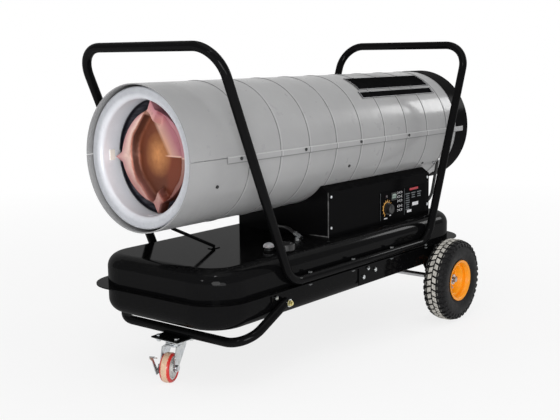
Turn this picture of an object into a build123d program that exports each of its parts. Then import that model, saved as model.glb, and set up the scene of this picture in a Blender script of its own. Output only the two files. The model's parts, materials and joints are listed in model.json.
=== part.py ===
"""Forced air heater on wheels: a drum over a control box over a fuel tank, in a tube frame.

Millimetres. X runs from the hot air outlet (-X) to the air intake (+X), the control panel is on
the -Y side and Z is up from the floor. The origin is on the floor, under the middle of the drum.
A "station" is a distance along the drum, measured backwards from the outlet's front edge.
"""
from build123d import *
import math
import os

# ---------------------------------------------------------------- driving dimensions
# General
seat_gap = 0.3            # between pieces that rest against each other on curved faces
face_gap = 0.2            # between flat faces that are bolted together
running_gap = 0.05        # radial clearance of a shaft in its hole

# Drum: two half shells with rolled beads, lapped along both sides
drum_r = 188.0
drum_z = 597.0
drum_length = 1291.0
guard_length = 80.0
shell_sheet = 1.2
bead_first = 220.0
bead_pitch = 126.0
bead_count = 9
bead_height = 1.5
bead_width = 7.0
hem_length = 8.0
hem_depth = 1.6
lap_lift = 2.3            # the lap strip stands this far off the shells
lap_start = 130.0
lap_tab = 44.0            # the strip runs on over the rear guard
lap_above = 3.0           # strip edges above and below the drum's axis
lap_below = 13.0
seam_screw_first = 180.0
seam_screw_pitch = 267.5
seam_screw_count = 5
seam_screw_angle = 1.0    # below the drum's axis, degrees
lower_screws = ((105.0, 21.3), (678.0, 22.5), (drum_length - 162, 35.0),       # station, degrees below
                (drum_length - 86, 37.0))
shell_screw_head_r = 4.5
shell_screw_head = 3.0
shell_screw_r = 2.0
shell_screw_length = 9.0

# Outlet collar, combustion chamber and flame spreader
collar_setback = 13.0
collar_inside_drum = 8.0  # the lip stands this far inside the drum's outer face
collar_over_chamber = 1.0
collar_outer_round = 4.0
collar_inner_round = 14.0
collar_return = 26.0
collar_end = 78.0
collar_sheet = 1.2
chamber_r = 147.0
chamber_front = 80.0
chamber_end = 640.0
chamber_sheet = 1.4
chamber_tab_width = 16.0
chamber_vent_r = 13.0
chamber_tab_front = 42.0
chamber_tab_back = 90.0
chamber_stay_stations = (104.0, 560.0)
chamber_stay_width = 26.0
stay_set_back = 20.0
spreader_front = 62.0
spreader_tip_inside = 0.3 # between the ears' tips and the chamber's inner face
spreader_waist_r = 84.0   # where the flanks of two ears would meet
spreader_side_r = 114.0   # body between two ears
spreader_corner_r = 122.0 # body behind an ear
spreader_bowl_r = 84.0
spreader_rim_r = 110.0
spreader_dish = 28.0
spreader_rim_dish = 6.0
spreader_skirt = 50.0
spreader_sheet = 2.0
spreader_turn = 3.0       # the star stands a little out of square, degrees

# Burner head, nozzle, electrodes and flame sensor
burner_r = 50.0
burner_front = 606.0
burner_back = 716.0
burner_sheet = 1.5
burner_plate_from_back = 14.0
nozzle_r = 8.0
nozzle_length = 62.0
nozzle_tail_y = 7.5
nozzle_tail = 24.0        # the hose tails reach this far behind the burner head
electrode_r = 4.0
electrode_rise = 20.0
electrode_spacing = 16.0
sensor_r = 8.0
sensor_drop = 30.0

# Motor, fan and air pump
fan_station = 960.0
fan_depth = 50.0
fan_tip_gap = 18.8
fan_hub_r = 32.0
fan_blades = 5
fan_blade_sheet = 3.0
fan_pitch = 34.0
shaft_r = 6.0
motor_station = 1030.0
motor_length = 140.0
motor_r = 62.0
motor_mount_at = 49.0     # from the motor's front to its mount
mount_width = 22.0
mount_sheet = 3.0
pump_r = 45.0
pump_length = 28.0
pump_rotor_r = 24.0
pump_offset = 2.0
pump_cover_length = 26.0
filter_length = 18.0
filter_r = 36.0
pump_tail_station = 1186.0
pump_tail_angle = 37.0

# Rear guard and intake grille
guard_over_drum = 2.0
guard_sheet = 1.5
guard_spigot = 34.0
grille_wire_r = 1.6
grille_spoke_r = 2.2
grille_pitch = 16.0
grille_inset = 8.0
grille_cap_r = 24.0
grille_spokes = 8

# Control box between drum and tank
box_front = 577.0
box_rear = 1145.0
box_half = 171.0
box_wall_top = 456.0
box_bevel_half = 144.0
box_bevel_top = 474.0
box_sheet = 1.2
cover_screw_r = 2.0
cover_screw_head_r = 4.5
cover_screw_head = 2.6
cover_screw_length = 8.0
cover_screw_inset = 13.0
cover_screw_heights = (352.0, 443.0)

# Control panel
panel_front = 845.0
panel_rear = 1118.0
panel_bottom = 333.0
panel_top = 424.0
panel_sheet = 1.0
knob_station = 889.0
knob_z = 369.0
knob_r = 19.0
knob_height = 17.0
knob_shaft_r = 3.0
knob_step = 4.0           # the knob's skirt, and its top's setback
switch_station = 925.0
switch_z = 404.0
switch_width = 30.0
switch_height = 24.0
switch_rim = 3.0
rocker_r = 9.0
rocker_pivot = 3.5        # behind the panel's face
rocker_tilt = 10.0
lamp_station = 882.0
lamp_z = 408.0
lamp_r = 5.0

# Electrics in the box
board_depth = 30.0        # behind the cover
board_first = 10.0        # behind the panel's front edge
board_length = 130.0
board_relay = 24.0
board_relay_pitch = 36.0
transformer_front = 625.0
transformer_length = 100.0
transformer_width = 74.0
transformer_height = 62.0
transformer_from_wall = 35.0
transformer_post_r = 7.0
transformer_post = 12.0
capacitor_front = 900.0
capacitor_length = 85.0
capacitor_r = 20.0
capacitor_from_wall = 67.0

# Fuel tank: two pressings welded at a flange
tank_front = 12.0
tank_length = 1253.0
tank_half = 256.0
flange_z = 241.4
flange_width = 24.0
flange_corner_r = 110.0
body_corner_r = 106.0
tank_sheet = 1.5
tank_top = 325.0
tank_bottom = 165.0
tank_crown_r = 37.0

# Filler, gauge, suction pipe and drain
filler_station = 365.0
filler_y = -180.0
filler_r = 20.0
filler_sheet = 1.5
filler_depth = 22.0
filler_rise = 13.0
cap_r = 27.0
cap_skirt = 14.0
cap_top = 6.0
gauge_station = 345.0
gauge_y = -140.0
gauge_base_r = 13.0
gauge_neck_r = 9.0
gauge_neck = 8.0
gauge_dome_r = 16.0
gauge_dome = 13.0
gauge_stem_r = 6.0
gauge_pivot_z = 252.0
float_arm = 108.0
float_r = 17.0
float_length = 42.0
float_fall = 30.0         # the arm hangs this far below level when the tank is empty, degrees
suction_station = 500.0
suction_y = -120.0
suction_rise = 14.0
fitting_hex_r = 9.0
drain_from_rear = 135.0

# Hoses. Routes are (station, y, z). The fuel line runs from the tank into the box, up through the
# lower shell and back to the nozzle; the air line leaves the shell behind the box.
hose_r = 5.0
hose_bore = 3.2
hose_hole_gap = 3.0
fuel_route = [(528, -12, 352), (556, 24, 344), (606, 27, 343), (655, 12, 352), (712, -12, 385),
              (765, -22, 428), (800, -22, 485), (803, -20, 540), (790, -12, 580)]
air_route = [(1228, -128, 528), (1240, -150, 495), (1200, -150, 375), (1174, -150, 355),
             (1120, -148, 355), (1040, -120, 350), (940, -60, 345), (850, -5, 352), (812, 22, 385),
             (808, 24, 445), (803, 22, 520), (790, 13, 575)]
air_tail_reach = 52.0     # the air hose runs straight off the pump for this long
nozzle_turn_station = 757.0

# Tube frame: handles and foot rails
tube_r = 12.5
tube_wall = 1.8
rail_y = 246.5
bar_z = 872.8
front_bar = 38.3
front_foot = 304.9
rear_foot = 1010.2
rear_bar = 1251.8
rail_split = 657.0
grip_bend = 80.0
foot_bend = 70.0
rail_sleeve_length = 60.0
rail_bolt_first = 388.0
rail_bolt_pitch = 204.0
rail_bolt_count = 3
rail_bolt_r = 3.0
rail_bolt_head_r = 6.5
rail_bolt_head = 4.5

# Front frame and caster
frame_bracket_front = 240.0
frame_bracket_rear = 310.0
frame_bracket_bottom = 195.0
frame_plate = 3.0
frame_arm_end = 288.0
frame_arm_end_z = 210.9
frame_arm_stand_off = 1.5
frame_run_station = 126.0
frame_run_z = 125.5
frame_run_half = 240.0
frame_bend = 70.0
stay_r = 4.5
stay_front = 119.0
stay_rear = 276.0
stay_lug = 30.0
stud_r = 3.0
stud_nut_r = 6.0
stud_nut = 4.5
studs = ((256.0, 224.0), (300.0, 205.0), (660.0, 203.0), (684.0, 226.0), (722.0, 214.0))  # station, height
caster_station = 117.0
caster_plate_length = 74.0
caster_plate_width = 90.0
caster_plate_sheet = 3.0
caster_pad_margin = 4.0   # the frame's welded pad stands out this far round the plate
caster_bolt_x = 56.0
caster_bolt_y = 66.0
caster_bolt_r = 4.0
caster_bolt_head_r = 7.0
caster_bolt_head = 5.0
caster_wheel_r = 40.0
caster_wheel_width = 29.0
caster_tread = 9.0
caster_trail = 45.0
caster_swivel = 22.0      # the fork stands this far off straight ahead, degrees
caster_fork_sheet = 3.0
caster_leg_gap = 4.0
caster_crown_front = 30.0 # ahead of the king pin
caster_crown_rear = 24.0
caster_leg_front = 41.0
caster_race_r = 26.0
caster_race_neck_r = 18.0
caster_race = 12.0
caster_kingpin_r = 6.0
caster_axle_r = 5.0
caster_axle_head = 5.4
caster_axle_head_r = 8.0
pedal_sheet = 2.0
pedal_pad = 13.0
pedal_reach = 71.0        # the toe ends this far ahead of the wheel's centre

# Rear axle and wheels
axle_station = 1058.4
axle_r = 8.0
axle_half = 326.0
axle_bracket_front = 640.0
axle_bracket_rear = 1110.0
axle_bracket_bottom = 180.0
axle_bracket_foot_r = 15.0
wheel_r = 130.0
wheel_mid_y = 308.0
wheel_width = 76.0
tread_width = 58.0
tyre_wall = 7.0
rim_r = 66.0
rim_well_r = 54.0
rim_width = 68.0
rim_sheet = 2.2
hub_r = 15.0
hub_inner_y = 262.0
hub_outer_y = 312.0
washer_r = 17.0
washer = 2.5

# ---------------------------------------------------------------- derived places
overall_length = drum_length + guard_length
shell_inner_r = drum_r - shell_sheet
collar_outer_r = drum_r - collar_inside_drum
collar_bore_r = chamber_r + collar_over_chamber
chamber_inner_r = chamber_r - chamber_sheet
spreader_tip_r = chamber_inner_r - spreader_tip_inside
fan_tip_r = shell_inner_r - fan_tip_gap
guard_r = drum_r + guard_over_drum
lap_inner_r = drum_r + lap_lift
lap_outer_r = lap_inner_r + shell_sheet
flange_top = flange_z + tank_sheet
flange_under = flange_z - tank_sheet
body_half = tank_half - flange_width
rail_z = flange_top + tube_r + face_gap
box_floor = tank_top + face_gap
pump_station = motor_station + motor_length
pump_cover_station = pump_station + pump_length
nozzle_tail_end = burner_back + nozzle_tail
rocker_pivot_y = -box_half - panel_sheet + rocker_pivot
board_y = -box_half + board_depth
drain_station = tank_front + tank_length - drain_from_rear
frame_plate_y = body_half + face_gap + frame_plate
frame_arm_y = body_half + seat_gap + tube_r + frame_arm_stand_off
caster_plate_top = frame_run_z - tube_r - frame_plate
wheel_inner_y = wheel_mid_y - wheel_width / 2
suction_point = Vector((suction_station - overall_length / 2), suction_y, tank_top + suction_rise)
suction_dir = Vector(0.2, 0.92, 0.33).normalized()
swivel_dir = Vector(math.cos(math.radians(caster_swivel)), math.sin(math.radians(caster_swivel)), 0)


def at(station):
    """The x of a station along the drum."""
    return station - overall_length / 2


# ---------------------------------------------------------------- shape helpers
def rod(start, end, radius, bore=0.0):
    """A round bar, or a tube, from one point to another."""
    start = Vector(*start)
    run = Vector(*end) - start
    section = Circle(radius)
    if bore:
        section -= Circle(bore)
    return extrude(Plane(origin=start, z_dir=run) * section, run.length)


def rod_x(first, last, radius, bore=0.0, y=0.0, z=drum_z):
    """A bar along X between two stations."""
    return rod((at(first), y, z), (at(last), y, z), radius, bore)


def block(x_range, y_range, z_range):
    """A box between three pairs of faces."""
    size = [high - low for low, high in (x_range, y_range, z_range)]
    middle = [(high + low) / 2 for low, high in (x_range, y_range, z_range)]
    return Pos(*middle) * Box(*size)


def both_sides(shape):
    """A shape and its mirror image across the middle plane."""
    return shape + mirror(shape, about=Plane.XZ)


def turned_x(points, start=0.0, arc=360.0):
    """A closed outline of (station, radius) points turned about the drum's axis, from the top."""
    outline = make_face(Polyline(*[(at(s), 0, r) for s, r in points], close=True))
    return Pos(0, 0, drum_z) * revolve(Rot(start, 0, 0) * outline, Axis.X, arc)


def turned_y(outline, x, z):
    """A face drawn with its radius along X and its width along Y, turned about a line along Y."""
    return Pos(x, 0, z) * revolve(outline, Axis.Y, 360)


def turned_z(points, x, y):
    """A closed outline of (radius, z) points turned about an upright line."""
    outline = make_face(Polyline(*[(r, 0, z) for r, z in points], close=True))
    return Pos(x, y, 0) * revolve(outline, Axis.Z, 360)


def bent_path(points, radii):
    """Straight runs through the points, joined by tangent arcs of the given radii."""
    points = [Vector(*point) for point in points]
    edges = []
    here = points[0]
    for before, corner, after, radius in zip(points, points[1:], points[2:], radii):
        into = (corner - before).normalized()
        out = (after - corner).normalized()
        half_turn = math.radians(into.get_angle(out)) / 2
        reach = radius * math.tan(half_turn)
        start = corner - into * reach
        end = corner + out * reach
        middle = corner + (out - into).normalized() * (radius / math.cos(half_turn) - radius)
        edges += [Line(here, start), ThreePointArc(start, middle, end)]
        here = end
    edges.append(Line(here, points[-1]))
    return Wire([edge.edge() for edge in edges])


def bent_tube(points, radii, radius, bore):
    """A tube swept along a bent path."""
    path = bent_path(points, radii)
    section = Plane(origin=path @ 0, z_dir=path % 0) * (Circle(radius) - Circle(bore))
    return sweep(section, path)


def easy_bends(points):
    """Bend radii as large as the runs beside each point allow."""
    points = [Vector(*point) for point in points]
    radii = []
    for before, corner, after in zip(points, points[1:], points[2:]):
        into = corner - before
        out = after - corner
        half_turn = math.radians(into.get_angle(out)) / 2
        radii.append(0.45 * min(into.length, out.length) / math.tan(half_turn))
    return radii


def hose(points):
    """A rubber hose through the points, with easy bends."""
    radii = easy_bends(points)
    tube = bent_tube(points, radii, hose_r, hose_bore)
    swept = math.pi * (hose_r**2 - hose_bore**2) * bent_path(points, radii).length
    print("hose bend radii", [round(radius, 1) for radius in radii])
    print("volume", round(tube.volume), "against", round(swept))
    return tube


def around_drum(angle, radius):
    """The y and z of a point at an angle below the horizontal on the -Y side of the drum."""
    turn = math.radians(angle)
    return -radius * math.cos(turn), drum_z - radius * math.sin(turn)


def radial_rod(station, angle, inner_r, outer_r, radius):
    """A bar pointing away from the drum's axis."""
    y0, z0 = around_drum(angle, inner_r)
    y1, z1 = around_drum(angle, outer_r)
    return rod((at(station), y0, z0), (at(station), y1, z1), radius)


# ---------------------------------------------------------------- drum shells
def seam_screw_stations():
    return [seam_screw_first + k * seam_screw_pitch for k in range(seam_screw_count)]


def beaded_line(radius, first):
    """The edges of a line along the drum, from a station on, that rises over every bead, and its end."""
    edges = []
    here = (at(first), 0, radius)
    for k in range(bead_count):
        middle = at(bead_first + k * bead_pitch)
        start = (middle - bead_width / 2, 0, radius)
        end = (middle + bead_width / 2, 0, radius)
        edges += [Line(here, start), ThreePointArc(start, (middle, 0, radius + bead_height), end)]
        here = end
    last = (at(drum_length), 0, radius)
    edges.append(Line(here, last))
    return edges, last


def shell_section():
    """The beaded sheet in section, with a hem turned in at the mouth."""
    outer, outer_end = beaded_line(drum_r, 0)
    inner, inner_end = beaded_line(shell_inner_r, hem_length)
    hem_r = shell_inner_r - hem_depth
    hem = Polyline((at(0), 0, drum_r), (at(0), 0, hem_r), (at(hem_length), 0, hem_r),
                   (at(hem_length), 0, shell_inner_r))
    return make_face(outer + inner + [Line(outer_end, inner_end), hem])


def seam_angle(height):
    """Degrees above the horizontal at which the shell stands this high over the drum's axis."""
    return math.degrees(math.asin(height / drum_r))


def seam_holes(inner_r, outer_r, radius):
    """The bores of the seam screws on both sides."""
    holes = [radial_rod(s, seam_screw_angle, inner_r, outer_r, radius) for s in seam_screw_stations()]
    return [both_sides(hole) for hole in holes]


def shell_screw_holes():
    """The bores of the screws through the lower shell."""
    return [both_sides(radial_rod(s, a, drum_r - 8, drum_r + 8, shell_screw_r + face_gap))
            for s, a in lower_screws]


def upper_shell():
    """Upper half shell with a lap strip along each side that hangs over the lower shell."""
    edge = seam_angle(lap_above - shell_sheet)
    shell = Pos(0, 0, drum_z) * revolve(Rot(edge - 90, 0, 0) * shell_section(), Axis.X, 180 - 2 * edge)
    top = seam_angle(lap_above)
    bottom = seam_angle(lap_below)
    strip = turned_x([(lap_start, lap_inner_r), (drum_length + lap_tab, lap_inner_r),
                      (drum_length + lap_tab, lap_outer_r), (lap_start, lap_outer_r)],
                     90 - top, top + bottom)
    web = turned_x([(lap_start, shell_inner_r), (drum_length, shell_inner_r),
                    (drum_length, lap_outer_r), (lap_start, lap_outer_r)], 90 - top, top - edge)
    shell += both_sides(strip) + both_sides(web)
    for hole in seam_holes(drum_r, drum_r + 8, shell_screw_r + face_gap):
        shell -= hole
    return shell


def lower_shell():
    """Lower half shell; its edges rise behind the lap strips."""
    edge = seam_angle(lap_above - shell_sheet) - 0.4
    shell = Pos(0, 0, drum_z) * revolve(Rot(90 - edge, 0, 0) * shell_section(), Axis.X, 180 + 2 * edge)
    for hole in seam_holes(drum_r - 8, drum_r + 8, shell_screw_r + face_gap) + shell_screw_holes():
        shell -= hole
    for first, last in hose_entries():
        shell -= rod(first, last, hose_r + hose_hole_gap)
    return shell


def shell_screw(station, angle, seat_r):
    """A pan head screw pointing at the drum's axis."""
    head = radial_rod(station, angle, seat_r, seat_r + shell_screw_head, shell_screw_head_r)
    shank = radial_rod(station, angle, seat_r - shell_screw_length, seat_r, shell_screw_r)
    return fillet(head.edges().filter_by(GeomType.CIRCLE).sort_by_distance((0, 0, drum_z))[-1],
                  shell_screw_head * 0.4) + shank


def shell_screw_set():
    """All screws of both shells."""
    screws = []
    for station in seam_screw_stations():
        screws.append(shell_screw(station, seam_screw_angle, lap_outer_r))
    for station, angle in lower_screws:
        screws.append(shell_screw(station, angle, drum_r))
    return [piece for screw in screws for piece in (screw, mirror(screw, about=Plane.XZ))]


# ---------------------------------------------------------------- outlet and combustion chamber
def outlet_collar():
    """Galvanised bell mouth: return flange, rolled lip and inner wall."""
    mid_out = collar_outer_r - collar_sheet / 2
    mid_in = collar_bore_r + collar_sheet / 2
    front = at(collar_setback) + collar_sheet / 2
    line = FilletPolyline((at(collar_setback + collar_return), mid_out), (front, mid_out),
                          (front, mid_in), (at(collar_end), mid_in),
                          radius=[collar_outer_round, collar_inner_round])
    section = Plane.XZ * trace(line, collar_sheet)
    return Pos(0, 0, drum_z) * revolve(section, Axis.X, 360)


def combustion_chamber():
    """Steel tube, open at the front, with a vented plate round the burner at the back."""
    chamber = rod_x(chamber_front, chamber_end, chamber_r, chamber_inner_r)
    chamber += rod_x(chamber_end - chamber_sheet, chamber_end, chamber_r, burner_r + seat_gap)
    vent_ring = (chamber_inner_r + burner_r) / 2
    for k in range(12):
        y, z = around_drum(k * 30, vent_ring)
        chamber -= rod((at(chamber_end - 6), y, z), (at(chamber_end + 6), y, z), chamber_vent_r)
    return chamber


def collar_tabs():
    """Four short tabs that centre the chamber in the collar."""
    half = math.degrees(chamber_tab_width / 2 / chamber_r)
    tabs = []
    for k in range(4):
        tabs.append(turned_x([(chamber_tab_front, chamber_r + 0.05), (chamber_tab_back, chamber_r + 0.05),
                              (chamber_tab_back, collar_bore_r - 0.05),
                              (chamber_tab_front, collar_bore_r - 0.05)], k * 90 - half, 2 * half))
    return tabs


def chamber_stays():
    """Angle stays between the chamber and the shells, at two stations."""
    half = chamber_stay_width / 2
    outer_r = shell_inner_r - seat_gap
    outline = [(-half, chamber_r + 0.1), (half, chamber_r + 0.1), (half, chamber_r + 1.6),
               (1.6 - half, chamber_r + 1.6), (1.6 - half, outer_r - 1.5),
               (half, outer_r - 1.5), (half, outer_r), (-half, outer_r)]
    stays = []
    for station in chamber_stay_stations:
        for angle in (70, 160, 250, 340):
            stays.append(turned_x([(station + stay_set_back + s, r) for s, r in outline], angle - 4, 8))
    return stays


def chamber_supports():
    """The tabs and the stays, each a separate piece."""
    return Compound(collar_tabs() + chamber_stays())


def four_sided(corner_r, side_r):
    """A face with four corners, joined by arcs that pass the middle of each side at its own radius."""
    corners = [(corner_r * math.cos(math.radians(90 * k)), corner_r * math.sin(math.radians(90 * k)))
               for k in range(4)]
    sides = [(side_r * math.cos(math.radians(90 * k + 45)), side_r * math.sin(math.radians(90 * k + 45)))
             for k in range(4)]
    return make_face([ThreePointArc(corners[k], sides[k], corners[(k + 1) % 4]) for k in range(4)])


def star_outline(inset):
    """A round-sided body with four pointed ears, drawn in the plane across the drum."""
    body = four_sided(spreader_corner_r - inset, spreader_side_r - inset)
    ears = four_sided(spreader_tip_r - inset * 2.2, spreader_waist_r - inset)
    across = Plane(origin=(0, 0, drum_z), x_dir=(0, 1, 0), z_dir=(1, 0, 0))
    return across * (Rot(0, 0, spreader_turn) * (body + ears))


def spreader_block(inset, setback):
    """The spreader's solid shape behind its bowl, with the whole form inset and set back."""
    rim = spreader_front + setback
    front = FilletPolyline((at(rim + spreader_dish), 0, 0), (at(rim + spreader_dish), 0, spreader_bowl_r),
                           (at(rim + spreader_rim_dish), 0, spreader_rim_r), (at(rim), 0, spreader_tip_r + 5),
                           radius=8)
    back = at(spreader_front + spreader_skirt) + (1 if setback else 0)
    edges = [front, Polyline((at(rim), 0, spreader_tip_r + 5), (back, 0, spreader_tip_r + 5), (back, 0, 0),
                             (at(rim + spreader_dish), 0, 0))]
    bowl = Pos(0, 0, drum_z) * revolve(make_face(edges), Axis.X, 360)
    start = Pos(at(spreader_front) - 5, 0, 0) * star_outline(inset)
    return bowl & extrude(start, spreader_skirt + 10, dir=(1, 0, 0))


def flame_spreader():
    """Bowl with four pointed ears and a skirt turned back along its edge."""
    return spreader_block(0, 0) - spreader_block(spreader_sheet, spreader_sheet)


# ---------------------------------------------------------------- burner
def burner_head():
    """Blast tube with a swirl disc in front and a spider plate that carries the nozzle."""
    inner = burner_r - burner_sheet
    plate = burner_back - burner_plate_from_back
    head = rod_x(burner_front, burner_back, burner_r, inner)
    swirl = rod_x(burner_front + 4, burner_front + 4 + burner_sheet, inner + 0.5, 17)
    for k in range(8):
        y, z = around_drum(k * 45, 33)
        swirl -= rod((at(burner_front), y, z), (at(burner_front + 12), y, z), 7)
    spider = rod_x(plate, plate + burner_sheet, inner + 0.5, nozzle_r + seat_gap)
    for y in (-30, 30):
        spider -= rod_x(plate - 4, plate + 6, 12, y=y)
    for y in (-electrode_spacing / 2, electrode_spacing / 2):
        spider -= rod_x(plate - 4, plate + 6, electrode_r + seat_gap, y=y, z=drum_z + electrode_rise)
    spider -= rod_x(plate - 4, plate + 6, sensor_r + seat_gap, z=drum_z - sensor_drop)
    return head + swirl + spider


def fuel_nozzle():
    """Brass nozzle on its adapter, with a collar behind the spider plate and two hose tails."""
    plate = burner_back - burner_plate_from_back + burner_sheet
    front = burner_front + 12
    nozzle = rod_x(front + 8, front + nozzle_length + 30, nozzle_r)
    nozzle += turned_x([(front, 0), (front, 3), (front + 8, nozzle_r), (front + 8, 0)])
    nozzle += Pos(at(plate + face_gap), 0, drum_z) * Rot(0, 90, 0) * extrude(RegularPolygon(13, 6), 12)
    for y in (-nozzle_tail_y, nozzle_tail_y):
        nozzle += rod_x(plate + 12, nozzle_tail_end, hose_bore - running_gap, y=y)
    return nozzle


def spark_electrodes():
    """Two ceramic electrodes with wire tips bent to the spark gap."""
    plate = burner_back - burner_plate_from_back
    pieces = []
    for side in (-1, 1):
        y = side * electrode_spacing / 2
        z = drum_z + electrode_rise
        ceramic = rod_x(burner_front + 26, plate + 26, electrode_r, y=y, z=z)
        ceramic += rod_x(plate - 3, plate - seat_gap, electrode_r + 2, y=y, z=z)
        tip = rod((at(burner_front + 26), y, z), (at(burner_front + 16), side * 2.5, z - 5), 1.2)
        pieces.append(ceramic + tip)
    return Compound(pieces)


def flame_sensor():
    """Photo cell in its holder, looking past the nozzle at the flame."""
    plate = burner_back - burner_plate_from_back
    z = drum_z - sensor_drop
    sensor = rod_x(plate - 12, plate + 30, sensor_r, z=z)
    return sensor + rod_x(plate + burner_sheet + face_gap, plate + burner_sheet + 4, sensor_r + 3, z=z)


# ---------------------------------------------------------------- motor, fan and pump
def motor_mount():
    """Ring inside the shells with four arms to a band round the motor."""
    first = motor_station + motor_mount_at
    outer_r = shell_inner_r - seat_gap
    outer = rod_x(first, first + mount_width, outer_r, outer_r - mount_sheet)
    band = rod_x(first, first + mount_width, motor_r + mount_sheet, motor_r + 0.1)
    arms = None
    for angle in (45, 135, 225, 315):
        y, z = around_drum(angle, (motor_r + shell_inner_r) / 2)
        reach = shell_inner_r - motor_r - mount_sheet * 2 + 2
        arm = Pos(at(first + mount_width / 2), y, z) * Rot(angle, 0, 0) * Box(mount_width, reach, mount_sheet)
        arms = arm if arms is None else arms + arm
    return outer + band + arms


def motor_body():
    """Ribbed motor casing with a bearing boss at each end."""
    last = motor_station + motor_length
    bore = shaft_r + running_gap
    body = rod_x(motor_station + 6, last, motor_r, bore)
    body += rod_x(motor_station, motor_station + 6, motor_r - 8, bore)
    body += rod_x(motor_station - 8, motor_station, 18, bore)
    return body


def motor_shaft():
    """Shaft through the motor with the slotted rotor of the air pump on its rear end."""
    rotor = rod_x(pump_station + 8.5, pump_cover_station - 0.5, pump_rotor_r)
    for k in range(4):
        slot = Pos(0, 0, pump_rotor_r - 4) * Box(30, 2.5, 10)
        rotor -= Pos(at(pump_station + 16), 0, drum_z) * Rot(90 * k, 0, 0) * slot
    return rod_x(fan_station - 18, pump_cover_station - 3, shaft_r) + rotor


def fan():
    """Five pitched blades on a boss."""
    middle = fan_station + fan_depth / 2
    wheel = rod_x(fan_station, fan_station + fan_depth, fan_hub_r, shaft_r + 0.02)
    for k in range(fan_blades):
        blade = Pos(0, 0, (fan_tip_r + fan_hub_r) / 2 - 3) * Rot(0, 0, fan_pitch) * Box(
            fan_blade_sheet, 82, fan_tip_r - fan_hub_r)
        wheel += Pos(at(middle), 0, drum_z) * Rot(360 / fan_blades * k, 0, 0) * blade
    tip_ring = rod_x(fan_station - 40, fan_station + fan_depth + 40, fan_tip_r)
    return wheel & tip_ring


def pump_housing():
    """Air pump body on the motor's rear end, bored off centre for the rotor."""
    last = pump_cover_station
    body = rod_x(pump_station + face_gap, last, pump_r, shaft_r + 1)
    body -= rod_x(pump_station + 8, last + 1, pump_rotor_r + pump_offset + 1, z=drum_z + pump_offset)
    tail_r = hose_bore - running_gap
    return body + radial_rod(pump_tail_station, pump_tail_angle, pump_r - 6, pump_r + 18, tail_r)


def pump_cover():
    """End cover with the filter chamber and its wing bolt."""
    start = pump_cover_station + face_gap
    last = start + pump_cover_length
    cover = rod_x(start, last, pump_r)
    cover -= rod_x(start - 1, start + 2, shaft_r + 1)
    cover -= rod_x(last - filter_length, last + 1, filter_r)
    return cover + rod_x(last - filter_length, last + 6, 5)


# ---------------------------------------------------------------- rear guard
def rear_guard():
    """Ring behind the shells, with a spigot inside them and a rolled rear edge."""
    spigot_r = shell_inner_r - seat_gap
    start = drum_length + face_gap
    ring = turned_x([(start, guard_r - guard_sheet), (overall_length, guard_r - guard_sheet),
                     (overall_length, guard_r), (start, guard_r)])
    step = turned_x([(start, spigot_r - guard_sheet), (start + guard_sheet, spigot_r - guard_sheet),
                     (start + guard_sheet, guard_r), (start, guard_r)])
    spigot = turned_x([(start - guard_spigot, spigot_r - guard_sheet), (start, spigot_r - guard_sheet),
                       (start, spigot_r), (start - guard_spigot, spigot_r)])
    edge = overall_length - 2.4
    hem = turned_x([(edge, guard_r - 5), (overall_length, guard_r - 5), (overall_length, guard_r),
                    (edge, guard_r)])
    ring = ring + step + spigot + hem
    for station, angle in list(lower_screws) + [(s, seam_screw_angle) for s in seam_screw_stations()]:
        if station > start - guard_spigot - 8:
            ring -= both_sides(radial_rod(station, angle, drum_r - 12, drum_r, shell_screw_r + 0.4))
    return ring


def rear_grille():
    """Intake grille of wire rings on spokes, with a cap in the middle."""
    place = at(overall_length - grille_inset)
    outer = guard_r - guard_sheet - grille_wire_r - seat_gap
    rings = int((outer - grille_cap_r) / grille_pitch)
    grille = rod((place - 4, 0, drum_z), (place - 1, 0, drum_z), grille_cap_r)
    for k in range(grille_spokes):
        y, z = around_drum(k * 360 / grille_spokes + 22.5, outer)
        grille += rod((place - 2.5, 0, drum_z), (place - 2.5, y, z), grille_spoke_r)
    for k in range(rings + 1):
        grille += Pos(place, 0, drum_z) * Rot(0, 90, 0) * Torus(outer - k * grille_pitch, grille_wire_r)
    return grille


# ---------------------------------------------------------------- control box
def wall_line(inset):
    """The foot, bend and top of the box's -Y side, moved inwards by an inset, as (y, z) points."""
    lean = math.atan2(box_half - box_bevel_half, box_bevel_top - box_wall_top)
    bend = (-box_half + inset, box_wall_top - inset * math.tan(lean / 2))
    top = (-box_bevel_half + inset * math.cos(lean), box_bevel_top - inset * math.sin(lean))
    return [(-box_half + inset, box_floor), bend, top]


def box_profile(inset):
    """Half outline of the control box across the drum, as (y, z) points on the -Y side."""
    walls = wall_line(inset)
    return [(0, box_floor)] + walls + [(0, walls[-1][1])]


def drum_clearance():
    """The space that the drum takes in the box."""
    return rod_x(box_front - 20, box_rear + 20, drum_r + bead_height + seat_gap)


def control_box():
    """Floor, front and rear walls of the plinth, cut to the drum and open on both sides."""
    inset = box_sheet + face_gap
    half = Polyline(*[(y, z) for y, z in box_profile(inset)], close=True)
    face = Plane(origin=(at(box_front), 0, 0), x_dir=(0, 1, 0), z_dir=(1, 0, 0)) * make_face(half)
    solid = both_sides(extrude(face, box_rear - box_front, dir=(1, 0, 0)))
    room = block((at(box_front + box_sheet), at(box_rear - box_sheet)), (-box_half, box_half),
                 (box_floor + box_sheet, box_bevel_top + 1))
    box = solid - room - drum_clearance()
    flange = cover_screw_inset * 2
    for x0, x1 in ((box_front, box_front + flange), (box_rear - flange, box_rear)):
        tab = block((at(x0), at(x1)), (-box_half + inset, -box_half + inset + box_sheet),
                    (box_floor, box_wall_top - 2))
        box += both_sides(tab)
    for hole in cover_screw_holes(cover_screw_r + face_gap):
        box -= hole
    for route, station in ((fuel_route, box_front), (air_route, box_rear)):
        y, z = crossing(route, station)
        box -= rod_x(station - 6, station + 6, hose_r + hose_hole_gap, y=y, z=z)
    return box


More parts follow.
